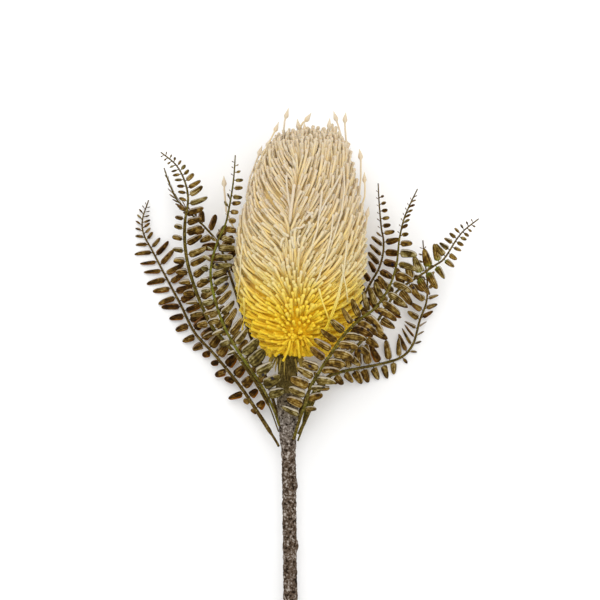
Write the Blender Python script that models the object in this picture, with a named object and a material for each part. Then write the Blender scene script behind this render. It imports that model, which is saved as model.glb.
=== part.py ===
"""A cut banksia stem that lies on its side: one head of soft florets, its neck, its
rough stem and the eight fern fronds that are bound to the stem below the head.

Every piece is modelled in the stem's own frame, in metres: X to the right, Y up the
stem and Z towards the viewer, with Y = 0 where the fronds join the stem. One empty
then lays the whole stem down on the surface Z = 0, with the origin where the head rests.
"""
import math
import random

import bpy
import bmesh
from mathutils import Matrix, Vector

# Sizes of the whole stem
STEM_RADIUS = 0.0045            # of the bare stem below the fronds
STEM_LENGTH_BELOW = 0.187       # from the fronds down to the cut end
HEAD_TOP_Y = 0.213              # tips of the highest florets
SEAT_GAP = 0.0003               # between two pieces that touch

# How it lies: the head's axis is this high above the surface where it rests
REST_Y = 0.118
REST_HEIGHT = 0.036
TILT = math.asin((REST_HEIGHT - STEM_RADIUS) / (REST_Y + STEM_LENGTH_BELOW))
LIFT = STEM_LENGTH_BELOW * math.sin(TILT) + STEM_RADIUS * math.cos(TILT)

# Stem, from the cut end to the neck: height Y, sideways drift X, radius
STEM_PROFILE = [
    (-0.187, 0.0024, 0.0045), (-0.150, 0.0018, 0.0044), (-0.106, 0.0010, 0.0045), (-0.066, 0.0004, 0.0044),
    (-0.030, 0.0001, 0.0045), (-0.010, -0.0003, 0.0046), (0.000, -0.0007, 0.0054), (0.010, -0.0008, 0.0062),
    (0.020, -0.0006, 0.0071), (0.027, -0.0004, 0.0078), (0.031, -0.0004, 0.0074),
]
STEM_SIDES = 12
STEM_RINGS = 24
STEM_RIPPLE = 0.00012
# Old leaf scars on the stem: height Y, degrees round, how far they stand out
STEM_KNOBS = [(-0.071, 20, 0.0016), (-0.032, -15, 0.0013), (-0.128, 150, 0.0014)]
KNOB_REACH = 0.006

# Neck: height Y and radius, from the top of the stem to the foot of the head
NECK_PROFILE = [
    (STEM_PROFILE[-1][0] + SEAT_GAP, 0.0062), (0.0345, 0.0052), (0.0390, 0.0044), (0.0430, 0.0052),
    (0.0470, 0.0072), (0.0510, 0.0086),
]
NECK_X = -0.0010
NECK_SIDES = 12
# Straps on the neck: degrees round, height Y of the root, reach outward, fall to the tip
STRAPS = [(180, 0.042, 0.0062, 0.0037), (128, 0.040, 0.0035, 0.0028), (62, 0.041, 0.0040, 0.0032),
          (8, 0.042, 0.0070, 0.0035), (245, 0.041, 0.0050, 0.0032), (305, 0.041, 0.0045, 0.0030)]
STRAP_WIDTH = 0.0030
STRAP_THICKNESS = 0.0008
STRAP_STATIONS = ((0.0, 1.0), (0.35, 1.0), (0.75, 0.75))    # share of its length, share of its width
ROOT_SINK = 0.0022              # how far a strap starts inside the neck

# Head: height Y, sideways centre X, and radius out to the floret tips
HEAD_OUTLINE = [
    (0.047, 0.0055, 0.0150), (0.052, 0.0065, 0.0205), (0.058, 0.0070, 0.0260), (0.068, 0.0073, 0.0335),
    (0.084, 0.0073, 0.0402), (0.111, 0.0073, 0.0436), (0.128, 0.0083, 0.0425), (0.142, 0.0087, 0.0410),
    (0.153, 0.0095, 0.0380), (0.172, 0.0100, 0.0335), (0.186, 0.0115, 0.0290), (0.199, 0.0135, 0.0230),
    (0.208, 0.0150, 0.0150), (0.214, 0.0160, 0.0080),
]
# Core that the florets stand out of: height Y and radius
CORE_OUTLINE = [
    (0.0518, 0.0080), (0.0580, 0.0150), (0.0700, 0.0230), (0.0880, 0.0290), (0.1100, 0.0312),
    (0.1320, 0.0300), (0.1520, 0.0260), (0.1700, 0.0200), (0.1840, 0.0125), (0.1900, 0.0060),
]
CORE_SIDES = 16
FLORETS = 236
FLORET_WIDTH = 0.0068
FLORET_THICKNESS = 0.0030
# How far up the head a floret's tip lies past its root: height of the root on the core from 0 to 1, distance
FLORET_SWEEP = [(0.0, -0.004), (0.10, 0.000), (0.30, 0.010), (0.60, 0.017), (0.85, 0.021), (1.0, 0.023)]
FLORET_STRETCH = (0.90, 1.08)   # range of the seeded draw that varies the sweep
FLORET_SEED = 11
FLORET_SINK = 0.003             # how far a floret starts inside the core
FLORET_STATIONS = ((0.0, 0.75), (0.38, 1.0), (0.74, 0.78))  # share of its length, share of its width
GOLDEN_ANGLE = math.pi * (3 - math.sqrt(5))
# The head rests on one broad lock under its middle; the other low ones are pressed up clear of the surface
RESTING_WIDTH = 0.0130
RESTING_THICKNESS = 0.0050
RESTING_ROOT_Y = REST_Y - 0.010
RESTING_STRETCH = 1.8
PRESSED_LIFTS = (0.0006, 0.0011, 0.0016, 0.0008, 0.0013)
# Long single florets that stray out of the head: height Y of the root, then the tip
STRAYS = [
    (0.178, (-0.0004, 0.2134, 0.006)), (0.182, (0.0145, 0.2104, 0.010)), (0.180, (0.0287, 0.2122, 0.002)),
    (0.176, (0.0369, 0.2114, -0.004)), (0.150, (0.0457, 0.1872, 0.004)), (0.136, (0.0487, 0.1723, -0.002)),
    (0.118, (0.0512, 0.1489, 0.003)), (0.128, (-0.0420, 0.1680, -0.009)),
]
STRAY_SIZE = (0.0030, 0.0022)

# Fronds: leaflets on both sides of a square rib
RIB_WIDTH = 0.0020
RIB_TIP_WIDTH = 0.0009
LEAFLET_THICKNESS = 0.0008
LEAFLET_WIDTH = 0.0040
LEAFLET_PITCH = 0.0090
LEAFLET_LEAN = 72               # degrees between a leaflet and the rib
HEAD_CLEARANCE = 0.0022
LEAST_LIFT = 0.0001             # of a frond's lowest points above the surface
# Along the leafy length from 0 to 1: leaflet length, width and spacing as shares of the full ones
LEAFLET_GROWTH = [
    (0.00, 0.50, 1.30, 0.95), (0.14, 0.72, 1.15, 1.0), (0.32, 0.98, 1.0, 1.0), (0.55, 1.0, 0.95, 0.95),
    (0.70, 0.86, 0.85, 0.80), (0.82, 0.54, 0.72, 0.58), (0.91, 0.27, 0.60, 0.45), (1.00, 0.13, 0.45, 0.36),
]
NUB_LENGTH = 0.0032             # a leaflet shorter than this is a plain pointed nub
LEAFLET_BASE = 0.0017           # widest stretch of rib that a leaflet grows from
LEAFLET_STATIONS = ((0.30, 0.96, 0.01), (0.78, 0.90, 0.06))     # share of its length, of its width, droop
TIP_DROOP = 0.12
STALK_STEP = 0.010

# Each frond: degrees round the stem and height Y of its root, then the points of its rib, the
# share of its length that is bare stalk, its longest leaflet, and its roll in degrees from root to tip
FRONDS = {
    "frond_left_low": dict(
        root=(190, -0.0066), bare=0.13, leaflet=0.0145, roll=(0, 0, -4),
        rib=[(-0.0091, -0.0026, -0.004), (-0.0190, 0.0125, -0.010), (-0.0313, 0.0305, -0.017),
             (-0.0488, 0.0518, -0.023), (-0.0626, 0.0669, -0.027), (-0.0719, 0.0851, -0.0300),
             (-0.0820, 0.1039, -0.0322), (-0.0909, 0.1209, -0.0340), (-0.0967, 0.1318, -0.0350),
             (-0.0978, 0.1417, -0.0356), (-0.0937, 0.1549, -0.0362)]),
    "frond_left_outer": dict(
        root=(213, 0.0024), bare=0.15, leaflet=0.0135, roll=(0, -8, 10),
        rib=[(-0.0137, 0.0206, -0.0045), (-0.0261, 0.0415, -0.005), (-0.0401, 0.0591, -0.006),
             (-0.0496, 0.0701, -0.006), (-0.0576, 0.0860, -0.007), (-0.0650, 0.1073, -0.007),
             (-0.0679, 0.1243, -0.006), (-0.0678, 0.1392, -0.004), (-0.0657, 0.1535, -0.002),
             (-0.0676, 0.1651, 0.0), (-0.0733, 0.1760, 0.002), (-0.0831, 0.1842, 0.004)]),
    "frond_left_back": dict(
        root=(239, 0.0036), bare=0.58, leaflet=0.0095, roll=(0, 20, 45),
        rib=[(-0.0158, 0.0391, -0.015), (-0.0290, 0.0738, -0.027), (-0.0385, 0.1030, -0.025),
             (-0.0455, 0.1234, -0.021), (-0.0538, 0.1346, -0.018), (-0.0651, 0.1456, -0.016),
             (-0.0738, 0.1545, -0.015), (-0.0783, 0.1641, -0.014), (-0.0820, 0.1750, -0.013)]),
    "frond_left_front": dict(
        root=(136, 0.0068), bare=0.10, leaflet=0.0125, roll=(0, 0, 0),
        rib=[(-0.0106, 0.0194, 0.009), (-0.0193, 0.0361, 0.016), (-0.0326, 0.0558, 0.022),
             (-0.0412, 0.0713, 0.023), (-0.0473, 0.0884, 0.020), (-0.0503, 0.1032, 0.016),
             (-0.0493, 0.1145, 0.013), (-0.0458, 0.1269, 0.010), (-0.0408, 0.1382, 0.008),
             (-0.0374, 0.1558, 0.005), (-0.0357, 0.1690, 0.003), (-0.0349, 0.1824, 0.001)]),
    "frond_right_back": dict(
        root=(289, 0.0036), bare=0.52, leaflet=0.0095, roll=(0, -15, -20),
        rib=[(0.0150, 0.0326, -0.015), (0.0330, 0.0619, -0.0245), (0.0462, 0.0851, -0.0250),
             (0.0536, 0.0994, -0.022), (0.0590, 0.1089, -0.020), (0.0618, 0.1189, -0.019),
             (0.0621, 0.1279, -0.018), (0.0606, 0.1358, -0.016), (0.0591, 0.1514, -0.013),
             (0.0583, 0.1648, -0.011)]),
    "frond_right_front": dict(
        root=(57, -0.0016), bare=0.11, leaflet=0.0130, roll=(0, 0, -10),
        rib=[(0.0068, 0.0109, 0.0085), (0.0102, 0.0202, 0.014), (0.0139, 0.0328, 0.023),
             (0.0187, 0.0416, 0.030), (0.0274, 0.0555, 0.037), (0.0354, 0.0668, 0.0385),
             (0.0460, 0.0768, 0.034), (0.0549, 0.0832, 0.029), (0.0638, 0.0958, 0.022),
             (0.0691, 0.1109, 0.017), (0.0710, 0.1270, 0.015), (0.0738, 0.1397, 0.015),
             (0.0777, 0.1495, 0.016), (0.0826, 0.1597, 0.018)]),
    "frond_right_outer": dict(
        root=(11, 0.0014), bare=0.32, leaflet=0.0125, roll=(0, 10, 0),
        rib=[(0.0120, 0.0132, 0.003), (0.0179, 0.0269, 0.006), (0.0275, 0.0405, 0.009),
             (0.0372, 0.0516, 0.010), (0.0478, 0.0629, 0.0095), (0.0550, 0.0716, 0.008),
             (0.0635, 0.0845, 0.005), (0.0696, 0.0936, 0.004), (0.0765, 0.0988, 0.004),
             (0.0849, 0.1043, 0.005), (0.0938, 0.1104, 0.006), (0.1005, 0.1153, 0.007),
             (0.1083, 0.1276, 0.010), (0.1135, 0.1338, 0.012), (0.1222, 0.1407, 0.014)]),
    "frond_right_low": dict(
        root=(341, -0.0034), bare=0.20, leaflet=0.0115, roll=(0, 0, 0),
        rib=[(0.0096, 0.0076, -0.004), (0.0143, 0.0244, -0.008), (0.0229, 0.0363, -0.012),
             (0.0337, 0.0410, -0.016), (0.0467, 0.0436, -0.020), (0.0600, 0.0461, -0.0240),
             (0.0741, 0.0505, -0.0266), (0.0820, 0.0593, -0.0270), (0.0862, 0.0745, -0.025),
             (0.0903, 0.0858, -0.023), (0.0912, 0.0950, -0.021), (0.0906, 0.1049, -0.019),
             (0.0888, 0.1167, -0.016), (0.0877, 0.1275, -0.013)]),
}


def between(rows, x):
    """The values of a short table at x, straight between its rows."""
    if x <= rows[0][0]:
        return rows[0][1:]
    for low, high in zip(rows, rows[1:]):
        if x <= high[0]:
            share = (x - low[0]) / (high[0] - low[0])
            return tuple(a + (b - a) * share for a, b in zip(low[1:], high[1:]))
    return rows[-1][1:]


def round_about(angle, radius, y, x=0.0):
    """A point at a height on the stem, at an angle from +X towards the viewer."""
    return Vector((x + radius * math.cos(angle), y, radius * math.sin(angle)))


def surface_z(y):
    """Depth of the surface that the stem lies on, in the stem's own frame."""
    return -(LIFT + y * math.sin(TILT)) / math.cos(TILT)


def new_material(name, colour, roughness):
    material = bpy.data.materials.new(name)
    material.use_nodes = True
    shader = material.node_tree.nodes["Principled BSDF"]
    shader.inputs["Base Color"].default_value = (*colour, 1.0)
    shader.inputs["Roughness"].default_value = roughness
    material.diffuse_color = (*colour, 1.0)
    return material


def add_object(name, bm, material, holder, smooth_angle=None):
    """Close a bmesh into a named object that hangs on the holder."""
    bmesh.ops.recalc_face_normals(bm, faces=bm.faces)
    mesh = bpy.data.meshes.new(name)
    bm.to_mesh(mesh)
    bm.free()
    mesh.materials.append(material)
    if smooth_angle is not None:
        mesh.shade_smooth()
        mesh.set_sharp_from_angle(angle=math.radians(smooth_angle))
    piece = bpy.data.objects.new(name, mesh)
    bpy.context.scene.collection.objects.link(piece)
    piece.parent = holder
    return piece


def add_ring(bm, points):
    return [bm.verts.new(point) for point in points]


def join_rings(bm, low, high, open_sides=()):
    """Faces between two rings, with the same diagonal on opposite sides."""
    count = len(low)
    for i in range(count):
        if i in open_sides:
            continue
        j = (i + 1) % count
        if i == 2:
            bm.faces.new((low[i], low[j], high[i]))
            bm.faces.new((low[j], high[j], high[i]))
        else:
            bm.faces.new((low[i], low[j], high[j]))
            bm.faces.new((low[i], high[j], high[i]))


def close_to_point(bm, ring, point):
    tip = bm.verts.new(point)
    for i, vert in enumerate(ring):
        bm.faces.new((vert, ring[(i + 1) % len(ring)], tip))


def turned_body(rings):
    """A bmesh of rings joined in order, with a flat cap at each end."""
    bm = bmesh.new()
    loops = [add_ring(bm, ring) for ring in rings]
    for low, high in zip(loops, loops[1:]):
        join_rings(bm, low, high)
    bm.faces.new(loops[0])
    bm.faces.new(loops[-1])
    return bm


def fuse(body, pieces):
    """Join a collection of pieces to a body in one Boolean, then remove them."""
    repeats = bpy.data.collections.new(body.name + "_repeats")
    bpy.context.scene.collection.children.link(repeats)
    for piece in pieces:
        bpy.context.scene.collection.objects.unlink(piece)
        repeats.objects.link(piece)
    union = body.modifiers.new("fuse", "BOOLEAN")
    union.operation = "UNION"
    union.operand_type = "COLLECTION"
    union.collection = repeats
    union.solver = "EXACT"
    bpy.context.view_layer.objects.active = body
    bpy.ops.object.modifier_apply(modifier=union.name)
    for piece in pieces:
        bpy.data.objects.remove(piece)
    bpy.data.collections.remove(repeats)


def smooth_route(points, steps=24):
    """Closely spaced points on a smooth curve through the given ones."""
    ends = [points[0] * 2 - points[1]] + points + [points[-1] * 2 - points[-2]]
    route = []
    for a, b, c, d in zip(ends, ends[1:], ends[2:], ends[3:]):
        for i in range(steps):
            t = i / steps
            route.append(0.5 * (2 * b + (c - a) * t + (2 * a - 5 * b + 4 * c - d) * t ** 2
                                + (3 * b - a - 3 * c + d) * t ** 3))
    route.append(points[-1])
    return route


class Rib:
    """A smooth curve that is read by the length along it."""

    def __init__(self, points):
        self.route = smooth_route(points)
        self.marks = [0.0]
        for a, b in zip(self.route, self.route[1:]):
            self.marks.append(self.marks[-1] + (b - a).length)
        self.length = self.marks[-1]

    def at(self, s):
        s = min(max(s, 0.0), self.length)
        for i in range(len(self.marks) - 1):
            if s <= self.marks[i + 1]:
                share = (s - self.marks[i]) / (self.marks[i + 1] - self.marks[i])
                return self.route[i].lerp(self.route[i + 1], share)
        return self.route[-1]

    def frame(self, s, roll):
        """Place, direction, side and face of the rib at a length along it."""
        reach = 0.0015
        along = (self.at(s + reach) - self.at(s - reach)).normalized()
        face = Vector((0, 0, 1))
        face = (face - along * face.dot(along)).normalized()
        face = Matrix.Rotation(math.radians(roll), 3, along) @ face
        return self.at(s), along, along.cross(face), face


def stem_radius(y):
    return between([(row[0], row[2]) for row in STEM_PROFILE], y)[0]


def stem_centre_x(y):
    return between([(row[0], row[1]) for row in STEM_PROFILE], y)[0]


def make_stem(holder):
    """The rough stem: a turned rod that swells under the fronds, with a few old leaf scars."""
    rings = []
    first, last = STEM_PROFILE[0][0], STEM_PROFILE[-1][0]
    for ring in range(STEM_RINGS + 1):
        y = first + (last - first) * ring / STEM_RINGS
        points = []
        for side in range(STEM_SIDES):
            angle = math.tau * (side + 0.25) / STEM_SIDES
            ripple = STEM_RIPPLE * (math.sin(5 * angle + 210 * y) + math.sin(2 * angle - 330 * y))
            radius = stem_radius(y) + ripple
            for knob_y, knob_angle, height in STEM_KNOBS:
                turn = math.remainder(angle - math.radians(knob_angle), math.tau)
                away = math.hypot(y - knob_y, turn * KNOB_REACH)
                radius += height * max(0.0, 1 - away / KNOB_REACH) ** 1.5
            point = round_about(angle, radius, y, stem_centre_x(y))
            point.z = max(point.z, surface_z(y))
            points.append(point)
        rings.append(points)
    material = new_material("stem", (0.127, 0.095, 0.070), 0.9)
    return add_object("stem", turned_body(rings), material, holder, smooth_angle=50)


def strap_object(angle, root_y, reach, fall, material, holder):
    """One thin strap that leaves the neck and hangs outward under the head."""
    out = round_about(angle, 1.0, 0.0)
    across = Vector((-math.sin(angle), 0, math.cos(angle))) * STRAP_WIDTH / 2
    start = Vector((NECK_X, root_y, 0)) + out * (between(NECK_PROFILE, root_y)[0] - ROOT_SINK)
    thick = (Vector((0, 1, 0)) + out * 0.6) * STRAP_THICKNESS / 2
    length = reach + ROOT_SINK
    bm = bmesh.new()
    loops = []
    for share, width in STRAP_STATIONS:
        middle = start + out * length * share - Vector((0, fall, 0)) * share ** 1.6
        loops.append(add_ring(bm, [middle - across * width + thick, middle + across * width + thick,
                                   middle + across * width - thick, middle - across * width - thick]))
    for low, high in zip(loops, loops[1:]):
        join_rings(bm, low, high)
    close_to_point(bm, loops[-1], start + out * length - Vector((0, fall, 0)))
    bm.faces.new(loops[0])
    return add_object("strap", bm, material, holder)


def make_neck(holder):
    """The neck between stem and head, with its straps fused to it."""
    rings = [[round_about(math.tau * i / NECK_SIDES, radius, y, NECK_X) for i in range(NECK_SIDES)]
             for y, radius in NECK_PROFILE]
    material = new_material("receptacle", (0.091, 0.065, 0.018), 0.7)
    neck = add_object("receptacle", turned_body(rings), material, holder, smooth_angle=50)
    straps = [strap_object(math.radians(degrees), root_y, reach, fall, material, holder)
              for degrees, root_y, reach, fall in STRAPS]
    fuse(neck, straps)
    return neck


def head_centre_x(y):
    return between(HEAD_OUTLINE, y)[0]


def head_radius(y):
    return between(HEAD_OUTLINE, y)[1]


def core_radius(y):
    return between(CORE_OUTLINE, y)[0]


def even_core_heights(count):
    """Heights on the core that give each floret the same share of its surface."""
    steps = 400
    low, high = CORE_OUTLINE[0][0] + 0.001, CORE_OUTLINE[-1][0]
    marks = [(0.0, low)]
    for i in range(1, steps + 1):
        y = low + (high - low) * i / steps
        marks.append((marks[-1][0] + core_radius(y), y))
    return [between(marks, marks[-1][0] * (i + 0.5) / count)[0] for i in range(count)]


def floret_tip(root_y, angle, stretch):
    """Where a floret of the even coat ends: further up the head, out on its outline."""
    share = (root_y - CORE_OUTLINE[0][0]) / (CORE_OUTLINE[-1][0] - CORE_OUTLINE[0][0])
    tip_y = min(root_y + between(FLORET_SWEEP, share)[0] * stretch, HEAD_TOP_Y)
    return round_about(angle, head_radius(tip_y), tip_y, head_centre_x(tip_y))


def floret_object(root_y, angle, tip, size, lift, material, holder):
    """One lock of florets: a three-sided spike that leaves the core and curves up the head.

    Where it would pass below the surface it is pressed flat, its outer side at the lift above it.
    """
    root = round_about(angle, core_radius(root_y) - FLORET_SINK, root_y, head_centre_x(root_y))
    tip_radius = (tip - Vector((head_centre_x(tip.y), tip.y, 0))).length
    shoulder = round_about(angle, core_radius(root_y) * 0.35 + tip_radius * 0.65,
                           root_y + (tip.y - root_y) * 0.30, head_centre_x(root_y))
    across = Vector((-math.sin(angle), 0, math.cos(angle)))
    floret_width, floret_thickness = size
    rings = []
    for t, width in FLORET_STATIONS:
        middle = root * (1 - t) ** 2 + shoulder * 2 * t * (1 - t) + tip * t ** 2
        along = ((shoulder - root) * (1 - t) + (tip - shoulder) * t).normalized()
        outward = along.cross(across)
        half = floret_width / 2 * width
        thick = floret_thickness * width
        ring = [middle - across * half + outward * thick * 0.4,
                middle + across * half + outward * thick * 0.4,
                middle - outward * thick * 0.6]
        for point, height in zip(ring, (0.0, 0.0, thick)):
            point.z = max(point.z, surface_z(point.y) + lift + height)
        rings.append(ring)
    tip.z = max(tip.z, surface_z(tip.y) + lift)
    bm = bmesh.new()
    loops = [add_ring(bm, ring) for ring in rings]
    for low, high in zip(loops, loops[1:]):
        join_rings(bm, low, high)
    close_to_point(bm, loops[-1], tip)
    bm.faces.new(loops[0])
    return add_object("floret", bm, material, holder)


def make_head(holder):
    """The head: a turned core with locks of florets all over it, set round by the golden angle."""
    rings = [[round_about(math.tau * i / CORE_SIDES, radius, y, head_centre_x(y)) for i in range(CORE_SIDES)]
             for y, radius in CORE_OUTLINE]
    material = new_material("flower_head", (0.761, 0.631, 0.352), 0.6)
    head = add_object("flower_head", turned_body(rings), material, holder)
    draw = random.Random(FLORET_SEED)
    size = (FLORET_WIDTH, FLORET_THICKNESS)
    down = -math.pi / 2
    resting_tip = floret_tip(RESTING_ROOT_Y, down, RESTING_STRETCH)
    resting_size = (RESTING_WIDTH, RESTING_THICKNESS)
    florets = [floret_object(RESTING_ROOT_Y, down, resting_tip, resting_size, 0.0, material, holder)]
    for root_y, tip in STRAYS:
        tip = Vector(tip)
        angle = math.atan2(tip.z, tip.x - head_centre_x(tip.y))
        florets.append(floret_object(root_y, angle, tip, STRAY_SIZE, 0.0, material, holder))
    for i, y in enumerate(even_core_heights(FLORETS)):
        angle = i * GOLDEN_ANGLE
        stretch = draw.uniform(*FLORET_STRETCH)
        turn = math.remainder(angle - down, math.tau)
        if math.hypot(turn * core_radius(y), y - RESTING_ROOT_Y) < RESTING_WIDTH / 2:
            continue
        lift = PRESSED_LIFTS[i % len(PRESSED_LIFTS)]
        florets.append(floret_object(y, angle, floret_tip(y, angle, stretch), size, lift, material, holder))
    fuse(head, florets)
    return head


def clear_point(point, half_thickness):
    """Bend a frond's point clear of the head's florets and up off the surface."""
    y = point.y
    if HEAD_OUTLINE[0][0] < y < HEAD_OUTLINE[-1][0]:
        axis = Vector((head_centre_x(y), y, 0))
        away = point - axis
        needed = head_radius(y) + HEAD_CLEARANCE
        if away.length < needed:
            point = axis + away.normalized() * needed
    lowest = surface_z(y) + half_thickness
    if point.z < lowest:
        point = Vector((point.x, y, lowest))
    return point


def leaflet(bm, root_ring, start, direction, face, length, width):
    """Grow one thin leaflet out of a face on the rib's side."""
    if length < NUB_LENGTH:
        close_to_point(bm, root_ring, clear_point(start + direction * length, LEAFLET_THICKNESS / 2))
        return
    across = face.cross(direction).normalized()
    if across.dot(root_ring[1].co - root_ring[0].co) < 0:
        across = -across
    ring = root_ring
    thick = face * LEAFLET_THICKNESS / 2
    for share, breadth, droop in LEAFLET_STATIONS:
        middle = start + direction * length * share - face * length * droop
        middle = clear_point(middle, LEAFLET_THICKNESS / 2 + LEAST_LIFT)
        half = across * width / 2 * breadth
        new_ring = add_ring(bm, [middle - half + thick, middle + half + thick,
                                 middle + half - thick, middle - half - thick])
        join_rings(bm, ring, new_ring)
        ring = new_ring
    tip = clear_point(start + direction * length - face * length * TIP_DROOP, LEAFLET_THICKNESS / 2)
    close_to_point(bm, ring, tip)


def leaflet_places(rib, bare):
    """Middle of each pair of leaflets along the rib, with its place from 0 to 1 in the leafy length."""
    start = rib.length * bare
    leafy = rib.length - start - 0.002
    places = []
    s = start
    while s < start + leafy:
        share = (s - start) / leafy
        places.append((s, share))
        s += LEAFLET_PITCH * between(LEAFLET_GROWTH, share)[2]
    return places


def make_frond(name, plan, material, holder):
    """One fern frond: a square rib with a pair of leaflets grown out of it at each step."""
    degrees, root_y = plan["root"]
    root_radius = stem_radius(root_y) + SEAT_GAP + RIB_WIDTH * 0.62
    root = round_about(math.radians(degrees), root_radius, root_y, stem_centre_x(root_y))
    rib = Rib([root] + [Vector(point) for point in plan["rib"]])

    stations = []
    bare_length = rib.length * plan["bare"]
    stalk_steps = round(bare_length / STALK_STEP)
    for i in range(stalk_steps):
        stations.append((bare_length * i / stalk_steps * 0.96, None))
    for s, share in leaflet_places(rib, plan["bare"]):
        length_share, width_share, _ = between(LEAFLET_GROWTH, share)
        width = LEAFLET_WIDTH * width_share
        base = min(LEAFLET_BASE, width * 0.62)
        size = (plan["leaflet"] * length_share, width)
        stations.append((s - base / 2, size))
        stations.append((s + base / 2, None))

    bm = bmesh.new()
    rings = []
    frames = []
    for s, _ in stations:
        share = s / rib.length
        roll = between([(0.0, plan["roll"][0]), (0.55, plan["roll"][1]), (1.0, plan["roll"][2])], share)[0]
        place, along, side, face = rib.frame(s, roll)
        half = (RIB_WIDTH + (RIB_TIP_WIDTH - RIB_WIDTH) * share ** 0.8) / 2
        place = clear_point(place, half + LEAST_LIFT)
        frames.append((place, along, side, face))
        rings.append(add_ring(bm, [place - side * half + face * half, place + side * half + face * half,
                                   place + side * half - face * half, place - side * half - face * half]))
    bm.faces.new(rings[0])
    for i in range(len(rings) - 1):
        size = stations[i][1]
        leafy = size is not None
        join_rings(bm, rings[i], rings[i + 1], open_sides=(1, 3) if leafy else ())
        if not leafy:
            continue
        length, width = size
        low, high = rings[i], rings[i + 1]
        place, along, side, face = frames[i]
        middle = place.lerp(frames[i + 1][0], 0.5)
        lean = math.radians(LEAFLET_LEAN)
        right_side = [low[1], high[1], high[2], low[2]]
        left_side = [low[0], high[0], high[3], low[3]]
        for sign, corners in ((1, right_side), (-1, left_side)):
            direction = along * math.cos(lean) + side * sign * math.sin(lean)
            leaflet(bm, corners, middle, direction, face, length, width)
    close_to_point(bm, rings[-1], clear_point(rib.at(rib.length), LEAFLET_THICKNESS / 2))
    return add_object(name, bm, material, holder)


def build():
    for old in list(bpy.data.objects):
        bpy.data.objects.remove(old)
    holder = bpy.data.objects.new("lying_stem", None)
    bpy.context.scene.collection.objects.link(holder)
    resting_spot = Vector((head_centre_x(REST_Y), REST_Y, surface_z(REST_Y)))
    holder.rotation_euler = (TILT, 0, 0)
    holder.location = -(Matrix.Rotation(TILT, 3, "X") @ resting_spot)
    make_stem(holder)
    make_neck(holder)
    make_head(holder)
    leaf = new_material("fern_leaf", (0.105, 0.080, 0.032), 0.65)
    for name, plan in FRONDS.items():
        make_frond(name, plan, leaf, holder)


build()
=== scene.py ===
import math
import random

import bpy
import numpy as np
from mathutils import Matrix, Vector


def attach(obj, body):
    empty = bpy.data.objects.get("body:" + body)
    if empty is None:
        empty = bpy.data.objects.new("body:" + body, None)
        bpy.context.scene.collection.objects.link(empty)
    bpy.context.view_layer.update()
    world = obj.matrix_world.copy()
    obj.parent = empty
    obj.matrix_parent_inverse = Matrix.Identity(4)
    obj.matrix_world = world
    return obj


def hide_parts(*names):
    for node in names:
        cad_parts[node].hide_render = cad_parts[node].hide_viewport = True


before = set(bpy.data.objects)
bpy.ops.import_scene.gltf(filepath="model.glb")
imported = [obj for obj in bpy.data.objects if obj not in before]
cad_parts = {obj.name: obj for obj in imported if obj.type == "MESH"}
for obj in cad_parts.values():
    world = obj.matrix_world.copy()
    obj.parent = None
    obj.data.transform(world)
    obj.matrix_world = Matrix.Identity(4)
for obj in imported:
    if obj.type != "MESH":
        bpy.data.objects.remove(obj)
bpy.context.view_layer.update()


# The cut stem: a woody rod as thick as a pencil, covered in rough grey-brown flock, with a few
# old leaf scars. It swells where the fronds are bound to it, and it lies on its side: its cut
# end and the head rest on the floor. Shapes are made in the stem's own frame and laid down last.
REST_X = 0.0077118
REST_Y = 0.118
REST_HEIGHT = 0.036
STEM_RADIUS = 0.0045
STEM_LENGTH_BELOW = 0.187
TILT = math.asin((REST_HEIGHT - STEM_RADIUS) / (REST_Y + STEM_LENGTH_BELOW))
LIFT = STEM_LENGTH_BELOW * math.sin(TILT) + STEM_RADIUS * math.cos(TILT)
STEM_PROFILE = [
    (-0.187, 0.0024, 0.0045), (-0.150, 0.0018, 0.0044), (-0.106, 0.0010, 0.0045), (-0.066, 0.0004, 0.0044),
    (-0.030, 0.0001, 0.0045), (-0.010, -0.0003, 0.0046), (0.000, -0.0007, 0.0054), (0.010, -0.0008, 0.0062),
    (0.020, -0.0006, 0.0071), (0.027, -0.0004, 0.0078), (0.031, -0.0004, 0.0074),
]
STEM_SIDES = 48
STEM_RING_STEP = 0.00075
LEAF_SCARS = [(-0.071, 20, 0.0016), (-0.032, -15, 0.0013), (-0.128, 150, 0.0014)]
SCAR_REACH = 0.006


def surface_z(y):
    """Depth of the floor in the stem's own frame."""
    return -(LIFT + y * math.sin(TILT)) / math.cos(TILT)


lying = Matrix.Rotation(TILT, 4, "X")
lying.translation = -(lying @ Vector((REST_X, REST_Y, surface_z(REST_Y))))


def row_at(rows, x):
    """The values of a table at x, straight between its rows."""
    marks = [row[0] for row in rows]
    return [float(np.interp(x, marks, [row[i] for row in rows])) for i in range(1, len(rows[0]))]


def corners_of(mesh):
    places = np.empty(len(mesh.vertices) * 3)
    mesh.vertices.foreach_get("co", places)
    return places.reshape(-1, 3)


def reshape(mesh, places):
    mesh.vertices.foreach_set("co", np.asarray(places, float).ravel())
    mesh.update()


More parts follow.
